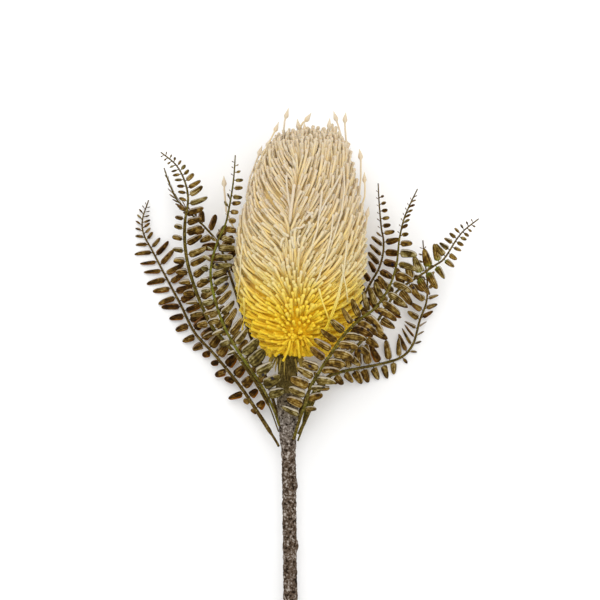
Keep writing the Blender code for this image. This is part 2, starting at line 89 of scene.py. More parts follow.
def extruded_along(name, sides, rings):
    """A closed rod, extruded ring by ring along the stem: each ring is height Y, centre X and radius."""
    bpy.ops.object.select_all(action="DESELECT")
    y, x, radius = rings[0]
    bpy.ops.mesh.primitive_circle_add(vertices=sides, radius=radius, fill_type="NGON",
                                      location=(x, y, 0), rotation=(math.pi / 2, 0, 0))
    rod = bpy.context.object
    rod.name = name
    rod.data.name = name
    bpy.ops.object.transform_apply(location=True, rotation=True, scale=True)
    bpy.ops.object.mode_set(mode="EDIT")
    bpy.ops.mesh.select_all(action="SELECT")
    for (y, x, radius), (next_y, next_x, next_radius) in zip(rings, rings[1:]):
        bpy.ops.mesh.extrude_region_move(TRANSFORM_OT_translate={"value": (next_x - x, next_y - y, 0)})
        size = next_radius / radius
        bpy.ops.transform.resize(value=(size, 1, size), center_override=(next_x, next_y, 0))
    bpy.ops.mesh.select_all(action="SELECT")
    bpy.ops.mesh.normals_make_consistent(inside=False)
    bpy.ops.object.mode_set(mode="OBJECT")
    return rod


def roughen(piece, kind, grain, depth):
    """Push a piece's surface in and out with a cloudy or flaky pattern, then apply it."""
    pattern = bpy.data.textures.new(piece.name + "_" + kind.lower(), kind)
    pattern.noise_scale = grain
    bump = piece.modifiers.new("rough", "DISPLACE")
    bump.texture = pattern
    bump.texture_coords = "LOCAL"
    bump.strength = depth
    bump.mid_level = 0.5
    bpy.context.view_layer.objects.active = piece
    bpy.ops.object.modifier_apply(modifier=bump.name)


def lay_down(piece, material_slot, *nodes):
    """Lay a finished piece down with the stem, keep it on the floor and tie it to the part."""
    piece.data.transform(lying)
    places = corners_of(piece.data)
    places[:, 2] = np.maximum(places[:, 2], 0.00005)
    reshape(piece.data, places)
    piece.data.shade_smooth()
    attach(piece, "root")
    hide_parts(*nodes)


def paint(red, green, blue):
    """A colour as it is seen on a screen, as the light that a shader takes."""
    return tuple(((c / 255 + 0.055) / 1.055) ** 2.4 if c > 10 else c / 3294
                 for c in (red, green, blue)) + (1.0,)


def put(tree, kind, inputs=None, **settings):
    """Add a node, set it, and fill its inputs with plain values or with other nodes' outputs."""
    node = tree.nodes.new(kind)
    for name, value in settings.items():
        setattr(node, name, value)
    for socket, value in (inputs or {}).items():
        if isinstance(value, bpy.types.NodeSocket):
            tree.links.new(value, node.inputs[socket])
        else:
            node.inputs[socket].default_value = value
    return node


def steps_of(tree, amount, stops):
    """The colour of an amount from 0 to 1, between the stops of a ramp."""
    ramp = put(tree, "ShaderNodeValToRGB", {"Fac": amount})
    elements = ramp.color_ramp.elements
    while len(elements) < len(stops):
        elements.new(0.5)
    for element, (place, colour) in zip(elements, stops):
        element.position = place
        element.color = colour
    return ramp.outputs["Color"]


def mixed(tree, amount, first, second, blend="MIX"):
    """Two colours mixed by an amount."""
    return put(tree, "ShaderNodeMix", {0: amount, 6: first, 7: second},
               data_type="RGBA", blend_type=blend).outputs[2]


def stretched(tree, value, low, high, to_low=0.0, to_high=1.0):
    """A value's range from low to high, stretched to another range and held at its ends."""
    return put(tree, "ShaderNodeMapRange", {"Value": value, "From Min": low, "From Max": high,
                                            "To Min": to_low, "To Max": to_high}).outputs["Result"]


def sums(tree, operation, first, second):
    return put(tree, "ShaderNodeMath", {0: first, 1: second}, operation=operation).outputs[0]


def new_finish(name, roughness, specular):
    """A new material, its tree and its shader."""
    material = bpy.data.materials.new(name)
    material.use_nodes = True
    shader = material.node_tree.nodes["Principled BSDF"]
    shader.inputs["Roughness"].default_value = roughness
    shader.inputs["Specular IOR Level"].default_value = specular
    return material, material.node_tree, shader


def new_group(name, inputs, outputs):
    """A node group with named sockets: its tree, its inputs and its output node."""
    group = bpy.data.node_groups.new(name, "ShaderNodeTree")
    for socket, kind, value in inputs:
        made = group.interface.new_socket(name=socket, in_out="INPUT", socket_type=kind)
        if value is not None:
            made.default_value = value
    for socket, kind in outputs:
        group.interface.new_socket(name=socket, in_out="OUTPUT", socket_type=kind)
    return group, group.nodes.new("NodeGroupInput").outputs, group.nodes.new("NodeGroupOutput")


# Flock and dust, as small pale and dark flecks with a bump: on the bark, the neck and the ribs
flecks, asked, given = new_group(
    "flecks",
    [("Vector", "NodeSocketVector", None), ("Grain", "NodeSocketFloat", 800.0),
     ("Amount", "NodeSocketFloat", 0.5)],
    [("Pale", "NodeSocketFloat"), ("Dark", "NodeSocketFloat"), ("Height", "NodeSocketFloat")])
fine = put(flecks, "ShaderNodeTexNoise", {"Vector": asked["Vector"], "Scale": asked["Grain"],
                                          "Detail": 3.0, "Roughness": 0.6}).outputs[0]
half_grain = sums(flecks, "MULTIPLY", asked["Grain"], 0.42)
broad = put(flecks, "ShaderNodeTexNoise", {"Vector": asked["Vector"], "Scale": half_grain,
                                           "Detail": 2.0, "Roughness": 0.5, "Distortion": 0.6}).outputs[0]
both = sums(flecks, "ADD", sums(flecks, "MULTIPLY", fine, 0.6), sums(flecks, "MULTIPLY", broad, 0.4))
pale = sums(flecks, "MULTIPLY", stretched(flecks, both, 0.53, 0.63), asked["Amount"])
dark = sums(flecks, "MULTIPLY", stretched(flecks, both, 0.485, 0.41), asked["Amount"])
flecks.links.new(pale, given.inputs["Pale"])
flecks.links.new(dark, given.inputs["Dark"])
flecks.links.new(both, given.inputs["Height"])

stem_rings = []
for y in np.arange(STEM_PROFILE[0][0], STEM_PROFILE[-1][0], STEM_RING_STEP):
    x, radius = row_at(STEM_PROFILE, y)
    stem_rings.append((float(y), x, radius * (1 + 0.016 * math.sin(y * 410) + 0.012 * math.sin(y * 957 + 1))))
stem_rings.append(STEM_PROFILE[-1])
bark_stem = extruded_along("bark_stem", STEM_SIDES, stem_rings)
places = corners_of(bark_stem.data)
for y, degrees, height in LEAF_SCARS:
    turn = np.arctan2(places[:, 2], places[:, 0]) - math.radians(degrees)
    turn = (turn + math.pi) % math.tau - math.pi
    away = np.hypot(places[:, 1] - y, turn * SCAR_REACH) / SCAR_REACH
    swell = 1 + height / STEM_RADIUS * np.maximum(0, 1 - away) ** 1.2
    places[:, 0] *= swell
    places[:, 2] *= swell
reshape(bark_stem.data, places)
roughen(bark_stem, "CLOUDS", 0.0042, 0.0010)
roughen(bark_stem, "CLOUDS", 0.0013, 0.0010)

bark, tree, shader = new_finish("bark_flock", 0.95, 0.05)
here = put(tree, "ShaderNodeTexCoord").outputs["Object"]
flock = put(tree, "ShaderNodeGroup", {}, node_tree=flecks)
tree.links.new(here, flock.inputs["Vector"])
flock.inputs["Grain"].default_value = 700.0
flock.inputs["Amount"].default_value = 1.0
height = put(tree, "ShaderNodeSeparateXYZ", {0: here}).outputs["Y"]
drift = put(tree, "ShaderNodeTexNoise", {"Vector": here, "Scale": 60.0, "Detail": 2.0}).outputs[0]
grey_top = stretched(tree, sums(tree, "ADD", height, sums(tree, "MULTIPLY", drift, 0.02)), -0.125, -0.100)
ground = mixed(tree, drift, paint(77, 62, 49), paint(97, 81, 67))
ground = mixed(tree, grey_top, ground, paint(112, 103, 94))
husky = stretched(tree, sums(tree, "ADD", height, sums(tree, "MULTIPLY", drift, 0.016)), -0.106, -0.080)
ground = mixed(tree, husky, ground, paint(84, 69, 36))
shade = mixed(tree, flock.outputs["Dark"], ground, paint(32, 23, 14))
shade = mixed(tree, flock.outputs["Pale"], shade,
              mixed(tree, husky, paint(178, 169, 160), paint(132, 118, 82)))
tree.links.new(shade, shader.inputs["Base Color"])
bump = put(tree, "ShaderNodeBump", {"Height": flock.outputs["Height"], "Strength": 1.0, "Distance": 0.0012})
tree.links.new(bump.outputs[0], shader.inputs["Normal"])
bark_stem.data.materials.append(bark)
lay_down(bark_stem, "bark", "stem")


# The neck: the woody receptacle that the head grows on, olive brown with dark lengthwise fibres.
# Thin papery straps leave it just under the florets and hang outward and down.
NECK_X = -0.0010
NECK_PROFILE = [
    (0.0280, 0.0078), (0.0313, 0.0075), (0.0335, 0.0071), (0.0370, 0.0065), (0.0410, 0.0061),
    (0.0450, 0.0061), (0.0490, 0.0068), (0.0530, 0.0086),
]
NECK_SIDES = 60
# Straps: degrees round, height of the root, reach outward, fall to the tip, width
STRAPS = [(190, 0.0512, 0.0038, 0.0058, 0.0018), (174, 0.0520, 0.0050, 0.0076, 0.0025),
          (148, 0.0505, 0.0020, 0.0086, 0.0014),
          (122, 0.0505, 0.0026, 0.0085, 0.0012), (104, 0.0498, 0.0016, 0.0100, 0.0010),
          (48, 0.0500, 0.0026, 0.0086, 0.0012), (26, 0.0508, 0.0034, 0.0098, 0.0027),
          (8, 0.0512, 0.0046, 0.0070, 0.0019), (-8, 0.0508, 0.0036, 0.0084, 0.0014),
          (218, 0.0508, 0.0050, 0.0068, 0.0015), (248, 0.0504, 0.0036, 0.0086, 0.0013),
          (284, 0.0504, 0.0040, 0.0080, 0.0013), (318, 0.0508, 0.0046, 0.0074, 0.0015)]

neck_rings = [(float(y), NECK_X, row_at(NECK_PROFILE, y)[0]) for y in np.arange(0.0280, 0.0530, 0.0005)]
neck = extruded_along("neck", NECK_SIDES, neck_rings)
places = corners_of(neck.data)
turn = np.arctan2(places[:, 2], places[:, 0] - NECK_X)
ripple = 1 + 0.035 * np.sin(turn * 9 + 1.1 * np.sin(turn * 2)) + 0.020 * np.sin(turn * 17 + places[:, 1] * 90)
places[:, 0] = NECK_X + (places[:, 0] - NECK_X) * ripple
places[:, 2] *= ripple
reshape(neck.data, places)
roughen(neck, "CLOUDS", 0.0016, 0.0006)

bpy.ops.object.select_all(action="DESELECT")
bpy.ops.mesh.primitive_plane_add(size=1.0, location=(0.5, 0, 0))
strap_shape = bpy.context.object
bpy.ops.object.transform_apply(location=True, rotation=True, scale=True)
bpy.ops.object.mode_set(mode="EDIT")
bpy.ops.mesh.select_all(action="SELECT")
bpy.ops.mesh.subdivide(number_cuts=7)
bpy.ops.object.mode_set(mode="OBJECT")
strap_flat = corners_of(strap_shape.data)
taper = np.interp(strap_flat[:, 0], [0, 0.5, 0.8, 1.0], [1.0, 0.9, 0.6, 0.12])
strap_flat[:, 2] = 0.35 * (0.25 - strap_flat[:, 1] ** 2)
strap_flat[:, 1] *= taper
for degrees, root_y, reach, fall, width in STRAPS:
    bpy.ops.object.select_all(action="DESELECT")
    strap = strap_shape.copy()
    strap.data = strap_shape.data.copy()
    bpy.context.scene.collection.objects.link(strap)
    angle = math.radians(degrees)
    out = np.array((math.cos(angle), 0, math.sin(angle)))
    way = out * reach - np.array((0, fall, 0))
    side = np.cross(way, (0, 0, 1)) / math.hypot(way[0], way[1])
    front = np.cross(side, way) / np.linalg.norm(way)
    root_radius = row_at(NECK_PROFILE, root_y)[0] - 0.0012
    t = strap_flat[:, 0:1]
    line = out * (root_radius + (reach + 0.0012) * t) + np.array((NECK_X, root_y, 0))
    line = line - np.array((0, fall, 0)) * t ** 1.7 + np.array((0, 0.0016, 0)) * np.sin(t * math.pi)
    reshape(strap.data, line + side * strap_flat[:, 1:2] * width + front * strap_flat[:, 2:3] * width)
    thicken = strap.modifiers.new("thick", "SOLIDIFY")
    thicken.thickness = 0.00035
    thicken.offset = 0
    bpy.context.view_layer.objects.active = strap
    bpy.ops.object.modifier_apply(modifier=thicken.name)
    papery = strap.data.attributes.new("papery", "FLOAT", "POINT")
    papery.data.foreach_set("value", np.ones(len(strap.data.vertices), np.float32))
    strap.select_set(True)
    neck.select_set(True)
    bpy.context.view_layer.objects.active = neck
    bpy.ops.object.join()
bpy.data.objects.remove(strap_shape)

husk, tree, shader = new_finish("neck_husk", 0.85, 0.06)
here = put(tree, "ShaderNodeTexCoord").outputs["Object"]
drawn_out = put(tree, "ShaderNodeMapping", {"Vector": here, "Scale": (1.0, 0.16, 1.0)}).outputs[0]
fibre = put(tree, "ShaderNodeTexNoise", {"Vector": drawn_out, "Scale": 1500.0, "Detail": 3.0}).outputs[0]
flock = put(tree, "ShaderNodeGroup", {}, node_tree=flecks)
tree.links.new(here, flock.inputs["Vector"])
flock.inputs["Grain"].default_value = 1300.0
flock.inputs["Amount"].default_value = 0.45
shade = steps_of(tree, fibre, [(0.30, paint(34, 25, 8)), (0.45, paint(78, 64, 27)),
                               (0.60, paint(100, 85, 41)), (0.78, paint(139, 124, 72))])
shade = mixed(tree, flock.outputs["Dark"], shade, paint(40, 31, 14))
shade = mixed(tree, flock.outputs["Pale"], shade, paint(142, 128, 84))
papery = put(tree, "ShaderNodeAttribute", attribute_name="papery").outputs["Fac"]
shade = mixed(tree, papery, shade, mixed(tree, fibre, paint(120, 98, 34), paint(186, 166, 88)))
tree.links.new(shade, shader.inputs["Base Color"])
bump = put(tree, "ShaderNodeBump", {"Height": fibre, "Strength": 0.8, "Distance": 0.0006})
tree.links.new(bump.outputs[0], shader.inputs["Normal"])
neck.data.materials.append(husk)
lay_down(neck, "neck", "receptacle")


# The head's core: the fat spindle that every floret stands on. It only shows as golden-brown
# fuzz deep between the florets, so it is one turned body with a soft, combed surface.
HEAD_OUTLINE = [
    (0.047, 0.0055, 0.0150), (0.052, 0.0065, 0.0205), (0.058, 0.0070, 0.0260), (0.068, 0.0073, 0.0335),
    (0.084, 0.0073, 0.0402), (0.111, 0.0073, 0.0436), (0.128, 0.0083, 0.0425), (0.142, 0.0087, 0.0410),
    (0.153, 0.0095, 0.0380), (0.172, 0.0100, 0.0335), (0.186, 0.0115, 0.0290), (0.1920, 0.0125, 0.0264),
    (0.1965, 0.0132, 0.0218), (0.1995, 0.0138, 0.0160), (0.2015, 0.0142, 0.0070), (0.2024, 0.0142, 0.0015),
]
CORE_OUTLINE = [
    (0.0518, 0.0080), (0.0545, 0.0150), (0.0600, 0.0215), (0.0680, 0.0272), (0.0840, 0.0338),
    (0.1110, 0.0372), (0.1280, 0.0362), (0.1420, 0.0347), (0.1530, 0.0315), (0.1680, 0.0264),
    (0.1770, 0.0216), (0.1830, 0.0160), (0.1865, 0.0100), (0.1880, 0.0040),
]


def head_radius(y):
    return np.interp(y, [row[0] for row in HEAD_OUTLINE], [row[2] for row in HEAD_OUTLINE])


def head_centre(y):
    return np.interp(y, [row[0] for row in HEAD_OUTLINE], [row[1] for row in HEAD_OUTLINE])


core_rings = [(float(y), float(head_centre(y)), row_at(CORE_OUTLINE, y)[0])
              for y in np.linspace(CORE_OUTLINE[0][0], CORE_OUTLINE[-1][0], 60)]
head_core = extruded_along("head_core", 72, core_rings)
roughen(head_core, "CLOUDS", 0.0030, 0.0022)

fuzz, tree, shader = new_finish("core_fuzz", 0.95, 0.1)
here = put(tree, "ShaderNodeTexCoord").outputs["Object"]
height = put(tree, "ShaderNodeSeparateXYZ", {0: here}).outputs["Y"]
combed = put(tree, "ShaderNodeTexNoise", {"Vector": here, "Scale": 700.0, "Detail": 4.0}).outputs[0]
low = mixed(tree, combed, paint(224, 172, 14), paint(244, 204, 44))
high = mixed(tree, combed, paint(214, 182, 112), paint(232, 206, 144))
shade = mixed(tree, stretched(tree, height, -0.035, -0.008), low, high)
tree.links.new(shade, shader.inputs["Base Color"])
bump = put(tree, "ShaderNodeBump", {"Height": combed, "Strength": 0.8, "Distance": 0.001})
tree.links.new(bump.outputs[0], shader.inputs["Normal"])
head_core.data.materials.append(fuzz)
lay_down(head_core, "florets", "flower_head")


# The florets: hundreds of soft round filaments that leave the core, lean over and lie on each
# other like combed hair. They part along a line up the front, so the left and right ones make a
# herringbone, and low down they spread from one whorl. Most end in a blunt, slightly swollen tip.
FLORET_SEED = 7
# Layers: how many florets over the whole head, how deep their tips lie, radius of a filament, then the part
# of the head that they fill: from and up to which height, how many degrees beside the parting; and how many
# degrees more their tips stand up. The last four fill the whorl, the fringe over the neck, the parting and
# the crown.
FLORET_LAYERS = [(540, 0.0002, 0.00098, 0, 1, 180, 0), (620, 0.0020, 0.00096, 0, 1, 180, 0),
                 (720, 0.0042, 0.00096, 0, 1, 180, 0), (1500, 0.0012, 0.00094, 0.058, 0.104, 30, 6),
                 (620, 0.0004, 0.00108, 0, 0.0585, 180, 18), (900, 0.0030, 0.00096, 0.108, 0.192, 75, 0),
                 (2700, 0.0014, 0.00092, 0.189, 1, 180, 0)]
FLORETS_FROM = 0.0515
FLORETS_TO = 0.2024
# Up the head: where the parting is, in degrees from the front
PARTING = [(0.060, -3), (0.077, -4), (0.100, -6), (0.138, -12), (0.176, -9), (0.205, 0)]
# Up the head: degrees from straight up that florets lean to, on the left and the right of the parting
LEAN = [
    (0.050, 164, 164), (0.053, 132, 132), (0.0555, 92, 92), (0.058, 60, 62), (0.064, 46, 50),
    (0.074, 50, 52), (0.086, 48, 48), (0.099, 46, 41), (0.110, 47, 36), (0.122, 49, 32), (0.150, 46, 27),
    (0.168, 38, 20),
    (0.182, 25, 11), (0.196, 12, 4), (0.206, 6, 2),
]
# Up the head: the share of that lean lost towards the head's left and right edge
EDGE = [(0.060, 0.10, 0.0), (0.080, 0.30, 0.10), (0.110, 0.62, 0.35), (0.150, 0.82, 0.62),
        (0.206, 0.85, 0.80)]
# Up the head: how many degrees beside the parting the lean takes, and how many more at a floret's root
PARTING_WIDTH = [(0.060, 40), (0.080, 36), (0.100, 30), (0.116, 24), (0.128, 14), (0.140, 7), (0.176, 7),
                 (0.205, 30)]
ROOT_TURN = [(0.050, 0), (0.056, 24), (0.062, 44), (0.074, 38), (0.088, 30), (0.106, 24), (0.150, 14),
             (0.180, 5), (0.206, 0)]
# Up the head: degrees that a floret's tip stands off the surface, and how many more at the parting
TIP_RISE = [(0.053, 10), (0.060, 18), (0.070, 23), (0.082, 21), (0.095, 15), (0.112, 11), (0.130, 8),
            (0.206, 7)]
END_ON = [(0.055, 16), (0.063, 26), (0.072, 20), (0.082, 14), (0.095, 11), (0.115, 8), (0.140, 0)]
FLORET_LENGTH = [(0.053, 0.013), (0.060, 0.018), (0.075, 0.024), (0.100, 0.030), (0.150, 0.034),
                 (0.190, 0.037), (0.206, 0.037)]
# A filament's stations from root to tip: share of its length, radius as a share of the full one
BLUNT = [(0.0, 0.84), (0.20, 0.88), (0.40, 0.90), (0.60, 0.91), (0.75, 0.92), (0.84, 0.97), (0.90, 1.18),
         (0.955, 1.22), (0.985, 0.90), (1.0, 0.42)]
BLUNT_TIP = 0.017
# Loose florets on the front: radius, then points from root to tip: across, up, towards the
# viewer. All are millimetres.
STRAYS = [
    (0.62, [(18.6, 62.3, 28.2), (21.8, 66.8, 30.6), (26.5, 77.4, 33.5), (32.3, 94.9, 34.6),
            (35.3, 108.8, 34.5), (36.8, 124.9, 33.1)]),
    (0.62, [(15.4, 96.6, 41.0), (19.9, 105.1, 41.0), (25, 120.3, 40.4), (27.2, 132.7, 38.6),
            (28.1, 142.9, 36.9)]),
    (0.55, [(37.4, 89, 29.2), (36.4, 96.7, 31.6), (34.8, 104.3, 34.3), (34.1, 111.2, 36)]),
    (0.60, [(25.3, 76.8, 34.3), (22.8, 83.3, 38.6), (20.4, 90.3, 40.6), (19.1, 95.7, 40.8)]),
    (0.55, [(22.4, 66.8, 30), (26.9, 76.3, 32.6), (30.6, 86.5, 34.3), (32.9, 94.7, 34), (34.1, 103, 34.3)]),
    (0.60, [(-33.2, 91, 7.7), (-31.1, 103.8, 19.5), (-30.8, 115.3, 21), (-29.2, 127.4, 21)]),
    (0.60, [(-30.5, 68.3, 0.8), (-29, 76.8, 8.6), (-28.6, 85.2, 19.3), (-29.1, 90.3, 19.7)]),
    (1.15, [(0.8, 137.6, 41.0), (1.3, 144, 41), (2.3, 151.7, 38.9), (3.6, 161.9, 36.6)]),
    (0.75, [(0.8, 146.6, 39.9), (-0.1, 153, 37.8), (-1.1, 160.1, 35.7), (-1.6, 167.8, 33.5)]),
    (0.80, [(12.4, 114.9, 41.6), (14.7, 122.5, 41.3), (17.2, 129.7, 41.1), (18.7, 137, 40.4),
            (20.2, 149.2, 38.5), (21.1, 158.1, 36)]),
    (0.75, [(17.9, 137.7, 40.4), (19.9, 144.2, 39.7), (22.9, 150.2, 37.2), (27.3, 157.6, 33.3),
            (33, 168.2, 26.4)]),
    (0.70, [(25.7, 120, 40), (30.9, 135.6, 36.1), (34.5, 148.9, 30.7), (35.6, 162.5, 25.6),
            (34.8, 174.2, 22.6)]),
    (0.80, [(0.8, 62.3, 29.7), (-0.2, 57.1, 25.3), (-2.5, 51.8, 19.5), (-3.8, 49.2, 15.6)]),
    (0.80, [(5.9, 61.7, 29.9), (6.5, 55.8, 25.2), (7, 51.2, 20.8)]),
    (0.80, [(12.2, 62.9, 30.5), (15.4, 59, 26.6), (18, 57.1, 23.8)]),
    (0.90, [(-5, 133.2, 40.4), (-3.3, 130.9, 41.1), (0.2, 128.5, 41.3)]),
    (0.85, [(2.3, 132.2, 41.4), (4.9, 134.1, 41.5), (7.5, 134.0, 41.5), (10.3, 136.4, 41.5)]),
    (1.00, [(10.9, 130.3, 41.5), (12.8, 133.8, 41.4), (13.1, 138.2, 41.3)]),
    (1.05, [(3.4, 121.8, 41.6), (2.4, 125.3, 41.5), (2.1, 128.8, 41.4)]),
    (0.95, [(10.9, 139.8, 41.5), (12.8, 142.3, 41.3), (15.7, 143.6, 41.2)]),
    (0.85, [(12.2, 143.9, 41.2), (14.4, 142.3, 41.2), (14.7, 140.1, 41.3)]),
    (0.80, [(-4.8, 122.5, 41.1), (-4.5, 125.6, 41.1), (-2.6, 127.8, 41.2)]),
    (0.75, [(6.5, 123.1, 41.6), (5.6, 126.9, 41.5), (7.5, 129.4, 41.5)]),
]
# Blunt florets that stand up round the crown and make its edge ragged: their tips, across, up and towards
# the viewer, in millimetres
CROWN_TIPS = [
    (-11.8, 187.6, -2), (-9.8, 191.6, 4), (-8.0, 193.9, -5), (-6.6, 197.2, 2), (-4.9, 195.6, 8),
    (-3.6, 199.5, -3), (-1.8, 197.0, 5), (0.1, 200.1, 1), (2.0, 196.9, 9), (4.2, 198.2, -6),
    (6.1, 199.6, 3), (8.6, 196.3, 8), (10.3, 198.6, -2), (12.1, 200.6, 4), (14.3, 199.0, 9),
    (16.0, 196.8, -5), (17.7, 197.5, 6), (20.3, 196.3, 1), (22.2, 197.6, 8), (24.0, 199.4, -4),
    (26.3, 202.0, 3), (28.3, 203.3, -2), (29.4, 200.2, 6), (30.7, 201.9, -5), (32.6, 198.0, 2),
    (34.5, 193.6, -4), (36.0, 189.0, 0), (-2.2, 192.3, 13), (1.6, 194.4, 14), (5.8, 193.2, 15),
    (8.1, 191.4, 17), (10.6, 194.9, 14), (13.9, 193.4, 15), (17.6, 192.6, 14),
]


def modelled_filament(name, sides, stations):
    """One straight filament, extruded up Z from its root at 0 to its tip at 1."""
    bpy.ops.object.select_all(action="DESELECT")
    bpy.ops.mesh.primitive_circle_add(vertices=sides, radius=stations[0][1], fill_type="NGON")
    filament = bpy.context.object
    filament.name = name
    bpy.ops.object.mode_set(mode="EDIT")
    bpy.ops.mesh.select_all(action="SELECT")
    for (low, wide), (high, next_wide) in zip(stations, stations[1:]):
        bpy.ops.mesh.extrude_region_move(TRANSFORM_OT_translate={"value": (0, 0, high - low)})
        bpy.ops.transform.resize(value=(next_wide / wide, next_wide / wide, 1), center_override=(0, 0, high))
    bpy.ops.mesh.select_all(action="SELECT")
    bpy.ops.mesh.normals_make_consistent(inside=False)
    bpy.ops.object.mode_set(mode="OBJECT")
    return filament


def smooth_step(x):
    x = np.clip(x, 0, 1)
    return x * x * (3 - 2 * x)


def column(rows, y, i=1):
    return np.interp(y, [row[0] for row in rows], [row[i] for row in rows])


def unit(vectors):
    return vectors / np.maximum(np.linalg.norm(vectors, axis=-1, keepdims=True), 1e-9)


def head_frame(points):
    """At each point of the head: the way up its surface, to the right along it, and out of it."""
    y = points[:, 1]
    turn = np.arctan2(points[:, 2], points[:, 0] - head_centre(y))
    slope = (head_radius(y + 0.006) - head_radius(y - 0.006)) / 0.012
    flat = np.zeros_like(y)
    up = unit(np.stack((slope * np.cos(turn), flat + 1, slope * np.sin(turn)), 1))
    right = np.stack((np.sin(turn), flat, -np.cos(turn)), 1)
    out = unit(np.stack((np.cos(turn), -slope, np.sin(turn)), 1))
    return up, right, out, 90 - np.degrees(turn), np.degrees(np.arctan(-slope))


def floret_routes(tips, lengths, extra_lean, extra_rise, steps=14):
    """Each floret's points from root to tip, found from its tip back along the combed surface."""
    points = tips.copy()
    route = [points.copy()]
    start_y = tips[:, 1].copy()
    depth = head_radius(start_y) - np.hypot(tips[:, 0] - head_centre(start_y), tips[:, 2])
    for step in range(steps):
        share = (step + 0.5) / steps
        up, right, out, around, taper = head_frame(points)
        y = points[:, 1]
        beside = (around - column(PARTING, y) + 180) % 360 - 180
        side = np.where(beside >= 0, 1.0, -1.0)
        lean = np.where(side > 0, column(LEAN, y, 2), column(LEAN, y, 1))
        middle = 180 * smooth_step((0.068 - y) / 0.008)
        edge = smooth_step((np.abs(beside) - 25) / 55)
        lean = lean * (1 - edge * np.where(side > 0, column(EDGE, y, 2), column(EDGE, y, 1)))
        spread = smooth_step(np.abs(beside) / column(PARTING_WIDTH, y))
        lean = middle + (lean - middle) * spread
        lean = np.radians(lean + column(ROOT_TURN, start_y) * share * spread + extra_lean)
        rise = np.maximum(column(TIP_RISE, start_y), taper * 0.85) + extra_rise
        rise = rise + (1 - spread) * column(END_ON, start_y)
        rise = rise + 16 * smooth_step((beside - 58) / 24) * smooth_step((start_y - 0.085) / 0.020)
        rise = np.radians(rise + (84 - rise) * share ** 2.4)
        lying_way = up * np.cos(lean)[:, None] + right * (side * np.sin(lean))[:, None]
        way = lying_way * np.cos(rise)[:, None] + out * np.sin(rise)[:, None]
        points = points - way * (lengths / steps)[:, None]
        inside = head_radius(points[:, 1]) - depth - 0.0055 * share ** 1.3
        centre = head_centre(points[:, 1])
        away = np.hypot(points[:, 0] - centre, points[:, 2])
        pull = np.minimum(1, inside / np.maximum(away, 1e-6))
        points[:, 0] = centre + (points[:, 0] - centre) * pull
        points[:, 2] *= pull
        route.append(points.copy())
    return np.stack(route[::-1], 1)


def smooth_route(points, steps=24):
    """Closely spaced points on a smooth curve through the given ones."""
    points = np.array(points)
    ends = np.concatenate(([points[0] * 2 - points[1]], points, [points[-1] * 2 - points[-2]]))
    route = []
    for a, b, c, d in zip(ends, ends[1:], ends[2:], ends[3:]):
        for t in np.arange(steps) / steps:
            route.append(0.5 * (2 * b + (c - a) * t + (2 * a - 5 * b + 4 * c - d) * t ** 2
                                + (3 * b - a - 3 * c + d) * t ** 3))
    return np.array(route + [points[-1]])


def drawn_route(points, steps=14):
    """Evenly spaced points on a smooth curve through a few places given in millimetres."""
    curve = smooth_route(np.array(points) / 1000)
    marks = np.concatenate(([0], np.cumsum(np.linalg.norm(np.diff(curve, axis=0), axis=1))))
    even = np.linspace(0, marks[-1], steps + 1)
    return np.stack([np.interp(even, marks, curve[:, i]) for i in range(3)], 1)


def bent_copies(name, shape, routes, radii, tints, tip_length=0.0, facing=None):
    """One mesh of many copies of a filament, each bent along its own route; tips keep their length."""
    template = corners_of(shape.data)
    heights = np.unique(np.round(template[:, 2], 5))
    row = np.searchsorted(heights, np.round(template[:, 2], 5))
    pieces = np.linalg.norm(np.diff(routes, axis=1), axis=2)
    marks = np.concatenate((np.zeros((len(routes), 1)), np.cumsum(pieces, 1)), 1)
    whole = marks[:, -1:]
    stops = heights * whole
    if tip_length:
        shaft = heights / 0.75 * (whole - 0.25 * tip_length)
        stops = np.where(heights > 0.75, whole - (1 - heights) * tip_length, shaft)
    line = np.stack([np.stack([np.interp(stop, mark, route[:, i]) for i in range(3)], 1)
                     for route, mark, stop in zip(routes, marks, stops)])
    way = unit(np.gradient(line, axis=1))
    out = head_frame(line[:, -1])[2] if facing is None else np.tile(facing, (len(routes), 1))
    across = unit(np.cross(way[:, -1], out))
    sides = [across]
    for k in range(len(heights) - 2, -1, -1):
        across = unit(across - way[:, k] * np.sum(across * way[:, k], 1, keepdims=True))
        sides.append(across)
    across = np.stack(sides[::-1], 1)
    thick = np.cross(way, across)
    points = (line[:, row] + across[:, row] * (template[:, 0] * radii[:, None])[..., None]
              + thick[:, row] * (template[:, 1] * radii[:, None])[..., None])
    floor = -(LIFT + points[..., 1] * math.sin(TILT)) / math.cos(TILT)
    points[..., 2] = np.maximum(points[..., 2], floor)
    count = len(template)
    faces = [tuple(face.vertices) for face in shape.data.polygons]
    mesh = bpy.data.meshes.new(name)
    mesh.from_pydata(points.reshape(-1, 3).tolist(), [],
                     [tuple(v + count * i for v in face) for i in range(len(routes)) for face in faces])
    for label, values in (("along", np.tile(template[:, 2], len(routes))),
                          ("tint", np.repeat(tints, count)), ("height", points[..., 1].ravel())):
        mesh.attributes.new(label, "FLOAT", "POINT").data.foreach_set("value", values.astype(np.float32))
    piece = bpy.data.objects.new(name, mesh)
    bpy.context.scene.collection.objects.link(piece)
    return piece


